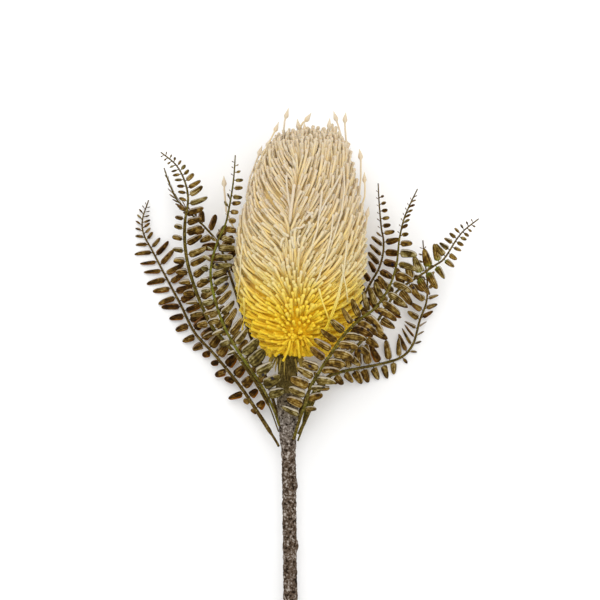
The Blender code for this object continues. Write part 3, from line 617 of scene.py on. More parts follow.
def even_tips(count, depth, first_turn, draw):
    """Floret tips spread evenly over the head by the golden angle, a little disturbed."""
    heights = np.linspace(FLORETS_FROM, FLORETS_TO, 900)
    area = np.cumsum(head_radius(heights) * np.hypot(1, np.gradient(head_radius(heights), heights)))
    y = np.interp((np.arange(count) + 0.5) / count * area[-1], area, heights)
    y = np.clip(y + draw.normal(0, 0.0010, count), FLORETS_FROM, FLORETS_TO)
    turn = first_turn + np.arange(count) * math.pi * (3 - math.sqrt(5)) + draw.normal(0, 0.030, count)
    radius = np.maximum(head_radius(y) - depth, 0.002)
    y = y - np.abs(draw.normal(0, 0.0045, count)) * (y > 0.192)
    return np.stack((head_centre(y) + radius * np.cos(turn), y, radius * np.sin(turn)), 1)


def beside_parting(tips):
    """How many degrees round the head each tip is from the parting."""
    return np.abs((head_frame(tips)[3] - column(PARTING, tips[:, 1]) + 180) % 360 - 180)


def valley(tips):
    """True for tips that would stand in the bare valley of the parting."""
    return (beside_parting(tips) < 4.5) & (tips[:, 1] > 0.136) & (tips[:, 1] < 0.180)


draw = np.random.default_rng(FLORET_SEED)
blunt_shape = modelled_filament("blunt_filament", 6, BLUNT)
all_routes = []
all_radii = []
all_tints = []
for layer, (count, depth, radius, low, high, reach, stand) in enumerate(FLORET_LAYERS):
    tips = even_tips(count, depth, layer * 1.7, draw)
    near = beside_parting(tips) < reach
    tips = tips[(tips[:, 1] >= low) & (tips[:, 1] <= high) & near & ~valley(tips)]
    count = len(tips)
    lengths = column(FLORET_LENGTH, tips[:, 1]) * draw.uniform(0.88, 1.12, count)
    all_routes.append(floret_routes(tips, lengths, draw.normal(0, 4.5, count), draw.normal(stand, 4, count)))
    all_radii.append(radius * draw.uniform(0.84, 1.10, count))
    # Each deeper one of the first three layers gets a lower mean tint, which the silk paints darker: painted
    # shade on the florets lying deep, added to each floret's random tone
    all_tints.append(np.clip(draw.normal(0.5 - 0.08 * min(layer, 2), 0.13, count), 0, 0.8))
for radius, points in STRAYS:
    first, second = np.array(points[0]), np.array(points[1])
    all_routes.append(drawn_route([first * 1.3 - second * 0.3 - (0, 0, 4)] + points)[None])
    all_radii.append([radius / 1000])
    all_tints.append([1.0])
for across, up, towards in CROWN_TIPS:
    middle = 1000 * head_centre((up - 30) / 1000)
    root = (middle + (across - middle) * 0.74, up - 32, towards * 0.4 - 2)
    bend = (middle + (across - middle) * 0.95, up - 14, towards * 0.85)
    all_routes.append(drawn_route([root, bend, (across, up, towards)])[None])
    all_radii.append([draw.uniform(0.00072, 0.00094)])
    all_tints.append([draw.uniform(0.35, 0.7)])
all_routes = np.concatenate(all_routes)
all_radii = np.concatenate(all_radii)
all_tints = np.concatenate(all_tints)

silk, tree, shader = new_finish("floret_silk", 0.6, 0.3)
shader.inputs["Subsurface Weight"].default_value = 0.25
shader.inputs["Subsurface Radius"].default_value = (1.0, 0.78, 0.42)
shader.inputs["Subsurface Scale"].default_value = 0.0022
along = put(tree, "ShaderNodeAttribute", attribute_name="along").outputs["Fac"]
tint = put(tree, "ShaderNodeAttribute", attribute_name="tint").outputs["Fac"]
height = put(tree, "ShaderNodeAttribute", attribute_name="height").outputs["Fac"]
here = put(tree, "ShaderNodeTexCoord").outputs["Object"]
patch = put(tree, "ShaderNodeTexNoise", {"Vector": here, "Scale": 70.0, "Detail": 2.0}).outputs[0]
level = sums(tree, "ADD", height, sums(tree, "MULTIPLY", sums(tree, "SUBTRACT", patch, 0.5), 0.022))
level = sums(tree, "ADD", level, sums(tree, "MULTIPLY", sums(tree, "SUBTRACT", tint, 0.5), 0.012))
level = stretched(tree, level, 0.050, 0.150)
root_colour = steps_of(tree, level, [
    (0.0, paint(228, 182, 20)), (0.28, paint(240, 198, 36)), (0.46, paint(240, 206, 90)),
    (0.62, paint(237, 208, 131)), (1.0, paint(235, 208, 146))])
tip_colour = steps_of(tree, level, [
    (0.0, paint(234, 194, 20)), (0.30, paint(235, 205, 54)), (0.44, paint(228, 208, 112)),
    (0.58, paint(221, 207, 163)), (1.0, paint(213, 199, 175))])
pale_part = sums(tree, "MAXIMUM", stretched(tree, along, 0.40, 0.92), stretched(tree, tint, 0.86, 0.95))
shade = mixed(tree, pale_part, root_colour, tip_colour)
fine = put(tree, "ShaderNodeTexNoise", {"Vector": here, "Scale": 900.0, "Detail": 2.0}).outputs[0]
# Painted shade: florets with a low tint, the deeper layers among them, are darkened towards golden brown; the
# rest of the tint is random tone per floret
shade = mixed(tree, sums(tree, "MULTIPLY", stretched(tree, tint, 0.55, 0.0), 0.20), shade,
              paint(224, 184, 108), "MULTIPLY")
shade = mixed(tree, sums(tree, "MULTIPLY", stretched(tree, fine, 0.60, 0.35), 0.20), shade,
              paint(228, 200, 146), "MULTIPLY")
dust = put(tree, "ShaderNodeTexVoronoi", {"Vector": here, "Scale": 75.0}).outputs["Distance"]
shade = mixed(tree, stretched(tree, dust, 0.040, 0.028), shade, paint(120, 78, 30))
tree.links.new(shade, shader.inputs["Base Color"])
bump = put(tree, "ShaderNodeBump", {"Height": fine, "Strength": 0.3, "Distance": 0.0004})
tree.links.new(bump.outputs[0], shader.inputs["Normal"])

tip_heights = all_routes[:, -1, 1]
for name, low, high in (("florets_low", 0.0, 0.098), ("florets_middle", 0.098, 0.146),
                        ("florets_high", 0.146, 1.0)):
    chosen = (tip_heights >= low) & (tip_heights < high)
    florets = bent_copies(name, blunt_shape, all_routes[chosen], all_radii[chosen], all_tints[chosen],
                          BLUNT_TIP)
    florets.data.materials.append(silk)
    lay_down(florets, "florets", "flower_head")


# The crown's pointed florets: slim shafts that end in a small flat arrowhead. Single ones stand
# clear of the head at its top and sides, and a few pale ones stray across its front.
SPEAR = [(0.0, 0.62), (0.25, 0.62), (0.50, 0.60), (0.75, 0.56), (0.795, 0.60), (0.815, 1.05), (0.835, 1.50),
         (0.855, 1.62), (0.89, 1.26), (0.935, 0.70), (0.97, 0.34), (1.0, 0.05)]
SPEAR_TIP = 0.036
# Points from tip to root of the single ones: across, up, towards the viewer, in millimetres
LONE_SPEARS = [
    [(-0.2, 212.5, 10), (-1.6, 207.7, 9), (-3.1, 202.6, 8), (-3.5, 195.9, 6), (-3.9, 184.4, 3)],
    [(14.6, 209.6, 9), (11.3, 204.8, 8), (7.6, 201.6, 7), (5.4, 195.9, 5), (3.3, 184.5, 2)],
    [(5.4, 205.9, 6), (6.1, 201, 6), (7.2, 193.4, 4), (7.8, 183.2, 1)],
    [(28.8, 211.2, 3), (30.7, 205.2, 3), (33.7, 196.5, 1), (35.1, 186, -2), (34.5, 174.5, -5)],
    [(37.1, 210.9, -2), (36.4, 205.7, -2), (36.8, 193, -3), (38.8, 180.4, -4), (39.8, 168.7, -6),
     (38.5, 161.6, -8)],
    [(26.5, 206.4, 8), (25.8, 199.7, 8), (25.3, 190.7, 6), (24.7, 180.5, 3)],
    [(45.7, 186.7, 1), (46.4, 181.7, 1), (46.8, 171.5, 1), (45.8, 157.8, 0), (42.3, 149, -3)],
    [(49.1, 172, -2), (49.1, 166.1, -2), (49.7, 159.5, -2), (48.4, 152.1, -3), (44.4, 143.2, -6)],
    [(51.9, 149.4, 2), (50.8, 144.2, 2), (50.1, 136.8, 1), (48.1, 128.7, -1), (43.6, 121, -4)],
    [(-6.5, 203.8, 8), (-8.7, 198.3, 8), (-12.4, 191.2, 8), (-16.9, 182.6, 8), (-22.1, 170.7, 7),
     (-26.2, 159.7, 5), (-27.3, 149.4, 2)],
    [(-17.4, 189, 1), (-19.5, 183, 1), (-22.5, 175.7, 1), (-26, 166, 0), (-27.8, 154.1, -2),
     (-26.1, 143.2, -6)],
    [(-42.7, 169.8, -9), (-42.4, 163.6, -9), (-42.3, 154.4, -9), (-41.1, 146.6, -10), (-38.7, 138.2, -11),
     (-32.2, 129.1, -13), (-27.0, 122.0, -13)],
    [(9.8, 203.6, 11), (10.4, 196.9, 10), (10.6, 188.7, 7)],
]


spear_shape = modelled_filament("spear_filament", 6, SPEAR)
flatten = corners_of(spear_shape.data)
flatten[:, 1] *= np.interp(flatten[:, 2], [0.78, 0.83, 1.0], [1.0, 0.5, 0.5])
reshape(spear_shape.data, flatten)
lone = np.stack([drawn_route(points[::-1]) for points in LONE_SPEARS])
tips = even_tips(170, -0.0006, 0.9, draw)
tips = tips[(tips[:, 1] > 0.180) & ~valley(tips)]
lengths = column(FLORET_LENGTH, tips[:, 1]) * draw.uniform(0.95, 1.15, len(tips))
crown = floret_routes(tips, lengths, draw.normal(0, 7, len(tips)), draw.normal(2, 6, len(tips)))
for name, routes, facing in (("florets_lone", lone, (0, 0, 1)), ("florets_crown", crown, None)):
    thick = 0.00112 if name == "florets_lone" else 0.00082
    spears = bent_copies(name, spear_shape, routes, thick * draw.uniform(0.85, 1.1, len(routes)),
                         np.clip(draw.normal(0.95, 0.04, len(routes)), 0, 1), SPEAR_TIP, facing)
    spears.data.materials.append(silk)
    lay_down(spears, "florets", "flower_head")
bpy.data.objects.remove(blunt_shape)
bpy.data.objects.remove(spear_shape)


# The fronds: eight dried fern sprays bound to the stem under the neck. Each is a thin tough rib with
# leathery oblong leaflets on short stalks, ridged lengthwise with their edges rolled under: grey olive,
# golden brown or dark and rusty, and shrinking to round scales and bare nubs towards the tip.
# A leaflet's outline: share of its length, share of its width; the first two rows are its stalk
LEAF_STATIONS = [(0.0, 0.14), (0.08, 0.15), (0.11, 0.58), (0.16, 0.86), (0.26, 0.98), (0.42, 1.0),
                 (0.58, 0.97), (0.72, 0.91), (0.84, 0.80), (0.92, 0.62), (0.97, 0.42), (1.0, 0.16)]
# Its section from edge to edge: rolled edges, four ridges and the groove of the midrib
LEAF_SECTION = [-0.15, 0.020, -0.012, 0.026, -0.030, 0.026, -0.012, 0.020, -0.15]
LEAF_THICKNESS = 0.07
STALK_WIDTH = 0.0006
HEAD_GAP = 0.0014
FERN_SEED = 23
# A rib's thickness: share of its length, radius in millimetres
RIB_THICKNESS = [(0, 1.05), (0.3, 1.10), (0.6, 0.85), (0.85, 0.58), (1, 0.40)]
# Each frond: where its root is (degrees round, height), the points of its rib, its roll, how rusty and how
# green it is at root, middle and tip, how far its left and right leaflets curve forward in degrees, how much
# they taper, and rows up the rib: share of its length, spacing, then for the left and for the right
# leaflet its length, width, lean from the rib and turn about its own line. Spacing, length and width are
# millimetres.
FRONDS = {
    "frond_left_low": dict(
        root=(190, -0.0066), roll=(0, 0, -4), rust=(1.00, 0.90, 0.55), green=(0.0, 0.0, 0.0),
        hook=(-14, 12),
        taper=0.12, thickness=[(0, 0.85), (0.05, 0.85), (0.065, 1.45), (0.16, 1.25), (0.3, 1.05), (0.6, 0.85),
                               (0.85, 0.6), (1, 0.42)],
        rib=[(-0.0091, -0.0026, -0.004), (-0.0190, 0.0125, -0.010), (-0.0313, 0.0305, -0.017),
             (-0.0488, 0.0518, -0.023), (-0.0626, 0.0669, -0.027), (-0.0719, 0.0851, -0.0300),
             (-0.0820, 0.1039, -0.0322), (-0.0909, 0.1209, -0.0340), (-0.0967, 0.1318, -0.0350),
             (-0.0978, 0.1417, -0.0356), (-0.0937, 0.1549, -0.0362)],
        leaflets=[
            (.135, 8.6, 5.0, 3.8, 25, 0, 6.6, 6.8, 80, 0), (.19, 8.8, 5.4, 4.0, 28, 0, 7.2, 7.2, 82, 0),
            (.225, 8.8, 10.5, 5.8, 76, 0, 8.0, 7.2, 84, 0), (.265, 8.6, 6.4, 4.2, 32, 0, 8.8, 7.0, 84, 0),
            (.305, 8.4, 11.0, 5.6, 70, 0, 9.4, 6.8, 82, 0), (.345, 8.4, 5.6, 4.2, 50, 0, 9.8, 6.8, 80, 0),
            (.40, 8.0, 6.0, 4.4, 60, 0, 10.0, 6.6, 80, 0), (.455, 7.8, 8.6, 5.2, 70, 0, 10.6, 6.0, 82, 0),
            (.52, 7.4, 10.0, 5.0, 74, 0, 11.4, 5.4, 84, 0),
            (.60, 7.0, 12.0, 4.2, 74, 0, 13.0, 4.4, 90, 0), (.70, 6.6, 13.0, 3.6, 70, 0, 13.5, 4.0, 88, 0),
            (.79, 6.5, 11.5, 2.9, 68, 0, 13.0, 3.3, 75, 0), (.81, 6.2, 11.0, 2.7, 66, 0, 10.5, 3.0, 72, 0),
            (.835, 5.6, 8.5, 2.5, 62, 0, 8.2, 2.8, 68, 0), (.86, 4.6, 6.5, 2.3, 60, 0, 6.4, 2.3, 66, 0),
            (.88, 4.0, 4.2, 2.0, 60, 0, 5.0, 2.1, 66, 0), (.905, 3.8, 3.7, 1.8, 55, 0, 4.6, 2.0, 66, 0),
            (.93, 3.7, 3.4, 1.6, 50, 0, 4.0, 1.8, 70, 0), (.945, 3.3, 3.2, 1.5, 50, 0, 2.4, 0.9, 60, 0),
            (.965, 3.0, 2.0, 0.8, 50, 0, 2.0, 0.8, 60, 0), (.98, 3.0, 0.9, 0.7, 50, 0, 0.9, 0.7, 60, 0)]),
    "frond_left_outer": dict(
        root=(213, 0.0024), roll=(0, -8, 10), rust=(0.70, 0.45, 0.45), green=(0.05, 0.25, 0.10),
        hook=(-4, 14),
        taper=0.15, thickness=[(0, 0.45), (0.085, 0.45), (0.10, 1.15), (0.3, 1.15), (0.6, 1.15), (0.72, 1.1),
                               (0.8, 0.75), (1, 0.42)],
        rib=[(-0.0137, 0.0206, -0.0045), (-0.0261, 0.0415, -0.005), (-0.0401, 0.0591, -0.006),
             (-0.0496, 0.0701, -0.006), (-0.0576, 0.0860, -0.007), (-0.0650, 0.1073, -0.007),
             (-0.0679, 0.1243, -0.006), (-0.0678, 0.1392, -0.004), (-0.0657, 0.1535, -0.002),
             (-0.0676, 0.1651, 0.0), (-0.0733, 0.1760, 0.002), (-0.0831, 0.1842, 0.004)],
        leaflets=[
            (.15, 8.0, 0.0, 0.5, 70, 20, 8.0, 5.0, 70, -20), (.35, 7.6, 0.0, 0.5, 70, 30, 12.0, 6.0, 72, 0),
            (.37, 7.5, 8.5, 5.0, 72, 35, 13.0, 6.0, 74, 0),
            (.40, 7.4, 8.5, 5.0, 72, 35, 13.0, 6.0, 74, 0), (.50, 7.2, 9.0, 5.0, 75, 35, 12.5, 5.4, 78, 0),
            (.60, 7.0, 8.0, 5.0, 75, 35, 12.5, 5.0, 78, 0), (.68, 7.0, 7.5, 4.6, 75, 30, 12.5, 5.0, 68, 0),
            (.73, 6.5, 6.0, 4.0, 78, 20, 11.0, 5.0, 64, 0), (.765, 6.2, 6.0, 3.0, 78, 10, 11.0, 4.6, 62, 0),
            (.80, 6.0, 6.0, 2.7, 78, 0, 12.0, 3.6, 62, 0), (.83, 5.0, 4.8, 2.6, 76, 0, 11.5, 3.6, 64, 0),
            (.865, 4.4, 5.0, 2.6, 76, 0, 8.5, 3.2, 66, 0), (.885, 4.0, 5.0, 2.5, 76, 0, 6.0, 2.7, 70, 0),
            (.90, 3.6, 4.9, 2.3, 74, 0, 4.0, 2.7, 70, 0), (.92, 3.5, 3.6, 2.0, 74, 0, 3.2, 2.7, 70, 0),
            (.935, 3.4, 2.9, 1.8, 72, 0, 3.0, 2.7, 70, 0), (.955, 3.4, 2.2, 1.6, 70, 0, 1.8, 1.5, 66, 0),
            (.985, 3.2, 1.2, 1.0, 66, 0, 1.2, 1.0, 66, 0)]),
    "frond_left_back": dict(
        root=(239, 0.0036), roll=(0, 20, 25), rust=(0.95, 1.00, 0.35), green=(0.0, 0.0, 0.1),
        hook=(0, 12),
        rib=[(-0.0158, 0.0391, -0.015), (-0.0290, 0.0738, -0.027), (-0.0385, 0.1030, -0.025),
             (-0.0455, 0.1234, -0.021), (-0.0538, 0.1346, -0.018), (-0.0651, 0.1456, -0.016),
             (-0.0738, 0.1545, -0.015), (-0.0783, 0.1641, -0.014), (-0.0820, 0.1750, -0.013)],
        leaflets=[
            (.56, 7.8, 11.0, 5.0, 75, -15, 11.0, 5.0, 75, -15),
            (.66, 7.4, 11.5, 5.2, 70, 0, 12.0, 5.2, 65, 0), (.74, 7.0, 9.0, 4.6, 70, 15, 12.5, 4.6, 68, 0),
            (.78, 5.4, 6.0, 3.8, 45, 30, 7.0, 4.0, 45, 20), (.81, 4.2, 6.5, 2.2, 22, 35, 6.0, 2.0, 22, 35),
            (.87, 3.8, 4.6, 1.2, 15, 40, 4.6, 1.2, 15, 40), (.93, 3.4, 3.2, 0.8, 12, 40, 3.2, 0.8, 12, 40),
            (.98, 3.0, 1.6, 0.5, 9, 30, 1.6, 0.5, 9, 30)]),
    "frond_left_front": dict(
        root=(136, 0.0068), roll=(0, 0, 0), rust=(0.10, 0.05, 0.35), green=(0.30, 0.80, 0.25),
        hook=(0, 24),
        taper=0.10, thickness=[(0, 0.80), (0.1, 0.85), (0.3, 0.95), (0.6, 0.85), (0.85, 0.58), (1, 0.40)],
        rib=[(-0.0106, 0.0194, 0.009), (-0.0193, 0.0361, 0.016), (-0.0326, 0.0558, 0.022),
             (-0.0412, 0.0713, 0.023), (-0.0473, 0.0884, 0.020), (-0.0503, 0.1032, 0.016),
             (-0.0493, 0.1145, 0.013), (-0.0458, 0.1269, 0.010), (-0.0408, 0.1382, 0.008),
             (-0.0374, 0.1558, 0.005), (-0.0357, 0.1690, 0.003), (-0.0349, 0.1824, 0.001)],
        leaflets=[
            (.10, 8.0, 0.0, 0.5, 60, 40, 9.6, 6.2, 108, 0), (.16, 8.0, 0.0, 0.5, 60, 50, 13.0, 7.8, 92, 0),
            (.25, 7.8, 0.0, 0.5, 70, 50, 14.0, 7.8, 82, 0), (.28, 7.6, 5.0, 3.6, 80, 46, 13.8, 6.8, 76, 0),
            (.34, 7.4, 8.0, 4.6, 82, 44, 13.5, 5.4, 64, 8),
            (.40, 7.0, 8.5, 4.8, 85, 50, 13.0, 4.8, 60, 18), (.48, 6.8, 8.0, 4.6, 85, 50, 12.5, 4.2, 58, 24),
            (.56, 6.6, 6.5, 4.2, 80, 50, 11.5, 4.2, 66, 0), (.63, 6.6, 5.0, 3.6, 75, 40, 12.5, 4.8, 76, 0),
            (.70, 6.4, 3.0, 2.6, 70, 40, 12.0, 4.8, 80, 0), (.74, 6.0, 1.0, 1.0, 60, 40, 9.0, 4.2, 80, 0),
            (.785, 5.6, 0.0, 0.0, 60, 0, 4.6, 4.0, 84, 0), (.825, 5.3, 4.7, 2.3, 40, 0, 7.0, 3.0, 82, 0),
            (.855, 5.3, 2.4, 1.2, 40, 0, 6.6, 2.9, 82, 0), (.885, 5.3, 0.0, 0.0, 60, 0, 6.0, 2.8, 80, 0),
            (.91, 5.2, 0.8, 0.7, 60, 0, 5.4, 2.7, 78, 0), (.935, 4.6, 0.9, 0.8, 60, 0, 3.4, 2.2, 74, 0),
            (.95, 4.0, 0.8, 0.8, 60, 0, 2.0, 1.4, 60, 0), (.97, 3.4, 0.7, 0.7, 60, 0, 1.0, 0.9, 60, 0)]),
    "frond_right_back": dict(
        root=(289, 0.0036), roll=(0, -15, -20), rust=(0.95, 0.85, 0.70), green=(0.0, 0.0, 0.0),
        hook=(5, 5), taper=0.05,
        rib=[(0.0150, 0.0326, -0.015), (0.0330, 0.0619, -0.0245), (0.0462, 0.0851, -0.0250),
             (0.0536, 0.0994, -0.022), (0.0590, 0.1089, -0.020), (0.0618, 0.1189, -0.019),
             (0.0621, 0.1279, -0.018), (0.0606, 0.1358, -0.016), (0.0591, 0.1514, -0.013),
             (0.0583, 0.1648, -0.011)],
        leaflets=[
            (.46, 7.5, 7.0, 3.4, 80, 0, 10.0, 4.4, 95, 0), (.58, 7.0, 8.0, 3.8, 72, 0, 11.0, 4.6, 90, 0),
            (.64, 6.8, 9.0, 3.7, 62, 0, 11.0, 4.6, 86, 0), (.70, 6.6, 10.6, 3.5, 60, 0, 9.6, 4.6, 85, 0),
            (.735, 6.4, 10.8, 3.4, 58, 0, 9.0, 4.4, 86, 0), (.77, 6.2, 10.0, 3.3, 54, 0, 9.6, 4.1, 84, 0),
            (.79, 5.8, 7.0, 3.0, 50, 0, 10.0, 4.2, 82, 0), (.815, 5.4, 0.0, 0.0, 50, 0, 7.4, 3.2, 84, 0),
            (.845, 5.0, 2.2, 1.0, 45, 0, 5.8, 2.9, 84, 0), (.88, 4.8, 0.9, 0.8, 50, 0, 4.6, 2.6, 82, 0),
            (.905, 4.6, 0.8, 0.7, 50, 0, 3.5, 2.8, 76, 0), (.935, 4.6, 0.8, 0.7, 50, 0, 2.8, 2.3, 75, 0),
            (.965, 4.2, 0.7, 0.7, 50, 0, 1.3, 1.1, 70, 0)]),
    "frond_right_front": dict(
        root=(57, -0.0016), roll=(0, 0, -10), rust=(0.30, 0.40, 0.60), green=(0.30, 0.40, 0.10),
        hook=(14, -34), taper=0.15,
        rib=[(0.0068, 0.0109, 0.0085), (0.0102, 0.0202, 0.014), (0.0139, 0.0328, 0.023),
             (0.0187, 0.0416, 0.030), (0.0274, 0.0555, 0.037), (0.0354, 0.0668, 0.0385),
             (0.0460, 0.0768, 0.034), (0.0549, 0.0832, 0.029), (0.0638, 0.0958, 0.022),
             (0.0691, 0.1109, 0.017), (0.0710, 0.1270, 0.015), (0.0738, 0.1397, 0.015),
             (0.0777, 0.1495, 0.016), (0.0826, 0.1597, 0.018)],
        leaflets=[
            (.085, 8.4, 12.0, 5.6, 86, 0, 7.0, 3.6, 60, 0), (.13, 8.4, 12.0, 7.2, 84, 0, 10.5, 4.6, 58, 0),
            (.19, 8.4, 13.0, 7.4, 86, 0, 12.5, 6.2, 55, 0), (.24, 8.0, 13.0, 6.6, 98, 0, 13.0, 6.2, 57, 0),
            (.30, 7.4, 12.5, 5.2, 98, 0, 12.0, 6.0, 62, 0), (.36, 7.2, 13.5, 5.4, 92, 0, 13.0, 6.0, 70, 0),
            (.44, 7.2, 12.0, 5.0, 90, 0, 14.0, 5.0, 62, 0), (.51, 7.2, 12.5, 4.8, 72, 0, 14.5, 4.8, 74, 10),
            (.58, 7.2, 13.0, 4.6, 62, 0, 15.5, 4.6, 82, 20), (.65, 7.2, 10.0, 4.4, 55, 0, 14.5, 4.4, 94, 20),
            (.70, 6.8, 3.0, 1.6, 60, 40, 13.0, 4.6, 92, 10), (.735, 6.6, 0.0, 0.0, 60, 0, 12.5, 4.6, 92, 0),
            (.775, 6.2, 0.0, 0.0, 60, 0, 12.0, 5.0, 95, 0), (.81, 5.5, 0.0, 0.0, 60, 0, 8.0, 4.2, 75, 0),
            (.83, 4.6, 0.8, 0.7, 60, 0, 4.8, 3.5, 60, 0), (.855, 3.8, 0.9, 0.7, 60, 0, 4.2, 2.6, 45, 0),
            (.885, 3.6, 0.9, 0.7, 55, 0, 3.6, 2.0, 35, 0), (.91, 3.6, 0.9, 0.7, 50, 0, 3.2, 1.8, 35, 0),
            (.94, 3.6, 0.8, 0.7, 50, 0, 3.0, 1.6, 35, 0), (.97, 3.6, 0.7, 0.6, 50, 0, 1.5, 0.8, 30, 0)]),
    "frond_right_outer": dict(
        root=(11, 0.0014), roll=(0, 10, 0), rust=(0.60, 0.55, 0.50), green=(0.15, 0.15, 0.0),
        hook=(0, 0), taper=0.38,
        rib=[(0.0120, 0.0132, 0.003), (0.0179, 0.0269, 0.006), (0.0275, 0.0405, 0.009),
             (0.0372, 0.0516, 0.010), (0.0478, 0.0629, 0.0095), (0.0550, 0.0716, 0.008),
             (0.0635, 0.0845, 0.005), (0.0696, 0.0936, 0.004), (0.0765, 0.0988, 0.004),
             (0.0849, 0.1043, 0.005), (0.0938, 0.1104, 0.006), (0.1005, 0.1153, 0.007),
             (0.1083, 0.1276, 0.010), (0.1135, 0.1338, 0.012), (0.1222, 0.1407, 0.014)],
        leaflets=[
            (.31, 8.0, 9.0, 5.0, 80, 0, 9.0, 5.0, 80, 0), (.45, 7.6, 11.0, 5.0, 78, 0, 11.0, 5.0, 85, 0),
            (.58, 7.6, 12.0, 5.0, 75, 0, 12.0, 5.0, 88, 0), (.70, 7.0, 11.0, 5.4, 76, 0, 12.5, 5.2, 90, 0),
            (.74, 6.7, 13.0, 5.8, 68, 0, 12.2, 5.0, 90, 0), (.775, 6.4, 13.5, 5.2, 64, 0, 10.4, 4.6, 88, 0),
            (.81, 5.4, 11.0, 4.6, 72, 0, 8.4, 3.6, 86, 0), (.845, 4.7, 7.6, 3.5, 84, 0, 5.5, 3.2, 84, 0),
            (.87, 4.2, 6.8, 3.0, 88, 0, 5.0, 2.8, 84, 0), (.895, 4.0, 5.2, 2.7, 88, 0, 4.2, 2.6, 82, 0),
            (.915, 3.7, 4.4, 2.3, 86, 0, 3.6, 2.3, 80, 0), (.935, 3.7, 3.2, 2.0, 82, 0, 3.4, 2.2, 78, 0),
            (.955, 3.7, 2.0, 1.4, 76, 0, 2.2, 1.6, 74, 0), (.98, 3.7, 1.2, 0.9, 70, 0, 1.2, 1.0, 70, 0)]),
    "frond_right_low": dict(
        root=(341, -0.0034), roll=(0, 0, 0), rust=(0.60, 0.55, 0.65), green=(0.45, 0.15, 0.0),
        hook=(6, -4), taper=0.32,
        thickness=[(0, 0.6), (0.05, 0.7), (0.08, 1.7), (0.14, 1.7), (0.2, 1.2), (0.4, 0.95), (0.7, 0.75),
                   (1, 0.4)],
        rib=[(0.0096, 0.0076, -0.004), (0.0143, 0.0244, -0.008), (0.0229, 0.0363, -0.012),
             (0.0337, 0.0410, -0.016), (0.0467, 0.0436, -0.020), (0.0600, 0.0461, -0.0240),
             (0.0741, 0.0505, -0.0266), (0.0820, 0.0593, -0.0270), (0.0862, 0.0745, -0.025),
             (0.0903, 0.0858, -0.023), (0.0912, 0.0950, -0.021), (0.0906, 0.1049, -0.019),
             (0.0888, 0.1167, -0.016), (0.0877, 0.1275, -0.013)],
        leaflets=[
            (.19, 7.4, 6.0, 4.0, 75, 0, 7.0, 4.4, 60, 0), (.28, 7.2, 9.0, 5.0, 80, 0, 9.0, 5.0, 60, 0),
            (.34, 7.0, 12.5, 5.2, 85, 0, 10.0, 5.2, 66, 0), (.42, 7.2, 13.0, 5.4, 90, 0, 9.8, 5.2, 76, 0),
            (.47, 7.2, 13.0, 5.2, 92, 0, 9.6, 4.8, 86, 0), (.51, 6.6, 13.0, 4.6, 84, 0, 9.6, 4.0, 104, 0),
            (.55, 6.0, 13.0, 3.0, 70, 20, 4.0, 2.4, 80, 30), (.60, 5.6, 12.5, 2.4, 54, 30, 4.0, 2.4, 45, 40),
            (.65, 6.2, 9.0, 3.0, 58, 30, 5.0, 2.6, 45, 40), (.69, 6.8, 9.0, 3.8, 75, 10, 8.0, 3.0, 42, 20),
            (.73, 6.8, 9.2, 4.2, 82, 0, 8.0, 3.0, 42, 10), (.78, 6.8, 11.0, 4.2, 66, 0, 8.0, 2.9, 62, 10),
            (.83, 6.4, 10.0, 3.9, 68, 0, 6.6, 2.6, 48, 10), (.87, 5.8, 8.6, 3.2, 70, 0, 5.6, 2.3, 46, 10),
            (.90, 5.2, 5.0, 2.2, 70, 0, 4.0, 2.0, 50, 0), (.93, 4.6, 2.8, 1.6, 70, 0, 1.6, 1.0, 50, 0),
            (.97, 4.0, 1.2, 0.9, 60, 0, 0.8, 0.8, 50, 0)]),
}


def modelled_leaflet():
    """One flat, thin leaflet, station by station along X and as wide as 1, ridged and with rolled edges."""
    bpy.ops.object.select_all(action="DESELECT")
    bpy.ops.mesh.primitive_grid_add(x_subdivisions=len(LEAF_STATIONS) - 1,
                                    y_subdivisions=len(LEAF_SECTION) - 1, size=1.0, location=(0.5, 0, 0))
    blade = bpy.context.object
    blade.name = "leaflet"
    bpy.ops.object.transform_apply(location=True, rotation=True, scale=True)
    flat = corners_of(blade.data)
    flat[:, 2] = np.interp(flat[:, 1], np.linspace(-0.5, 0.5, len(LEAF_SECTION)), LEAF_SECTION)
    reshape(blade.data, flat)
    thicken = blade.modifiers.new("thick", "SOLIDIFY")
    thicken.thickness = LEAF_THICKNESS
    thicken.offset = 0
    bpy.context.view_layer.objects.active = blade
    bpy.ops.object.modifier_apply(modifier=thicken.name)
    return blade


def clear_of_head(points, half_thickness):
    """Bend a frond's points out of the florets and up off the floor."""
    y = points[:, 1]
    centre = head_centre(y)
    away = np.hypot(points[:, 0] - centre, points[:, 2])
    beside = (y > HEAD_OUTLINE[0][0]) & (y < HEAD_OUTLINE[-1][0])
    push = np.where(beside, np.maximum(1, (head_radius(y) + HEAD_GAP) / np.maximum(away, 1e-6)), 1)
    moved = points.copy()
    moved[:, 0] = centre + (points[:, 0] - centre) * push
    moved[:, 2] = points[:, 2] * push
    floor = -(LIFT + y * math.sin(TILT)) / math.cos(TILT)
    moved[:, 2] = np.maximum(moved[:, 2], floor + half_thickness)
    return moved


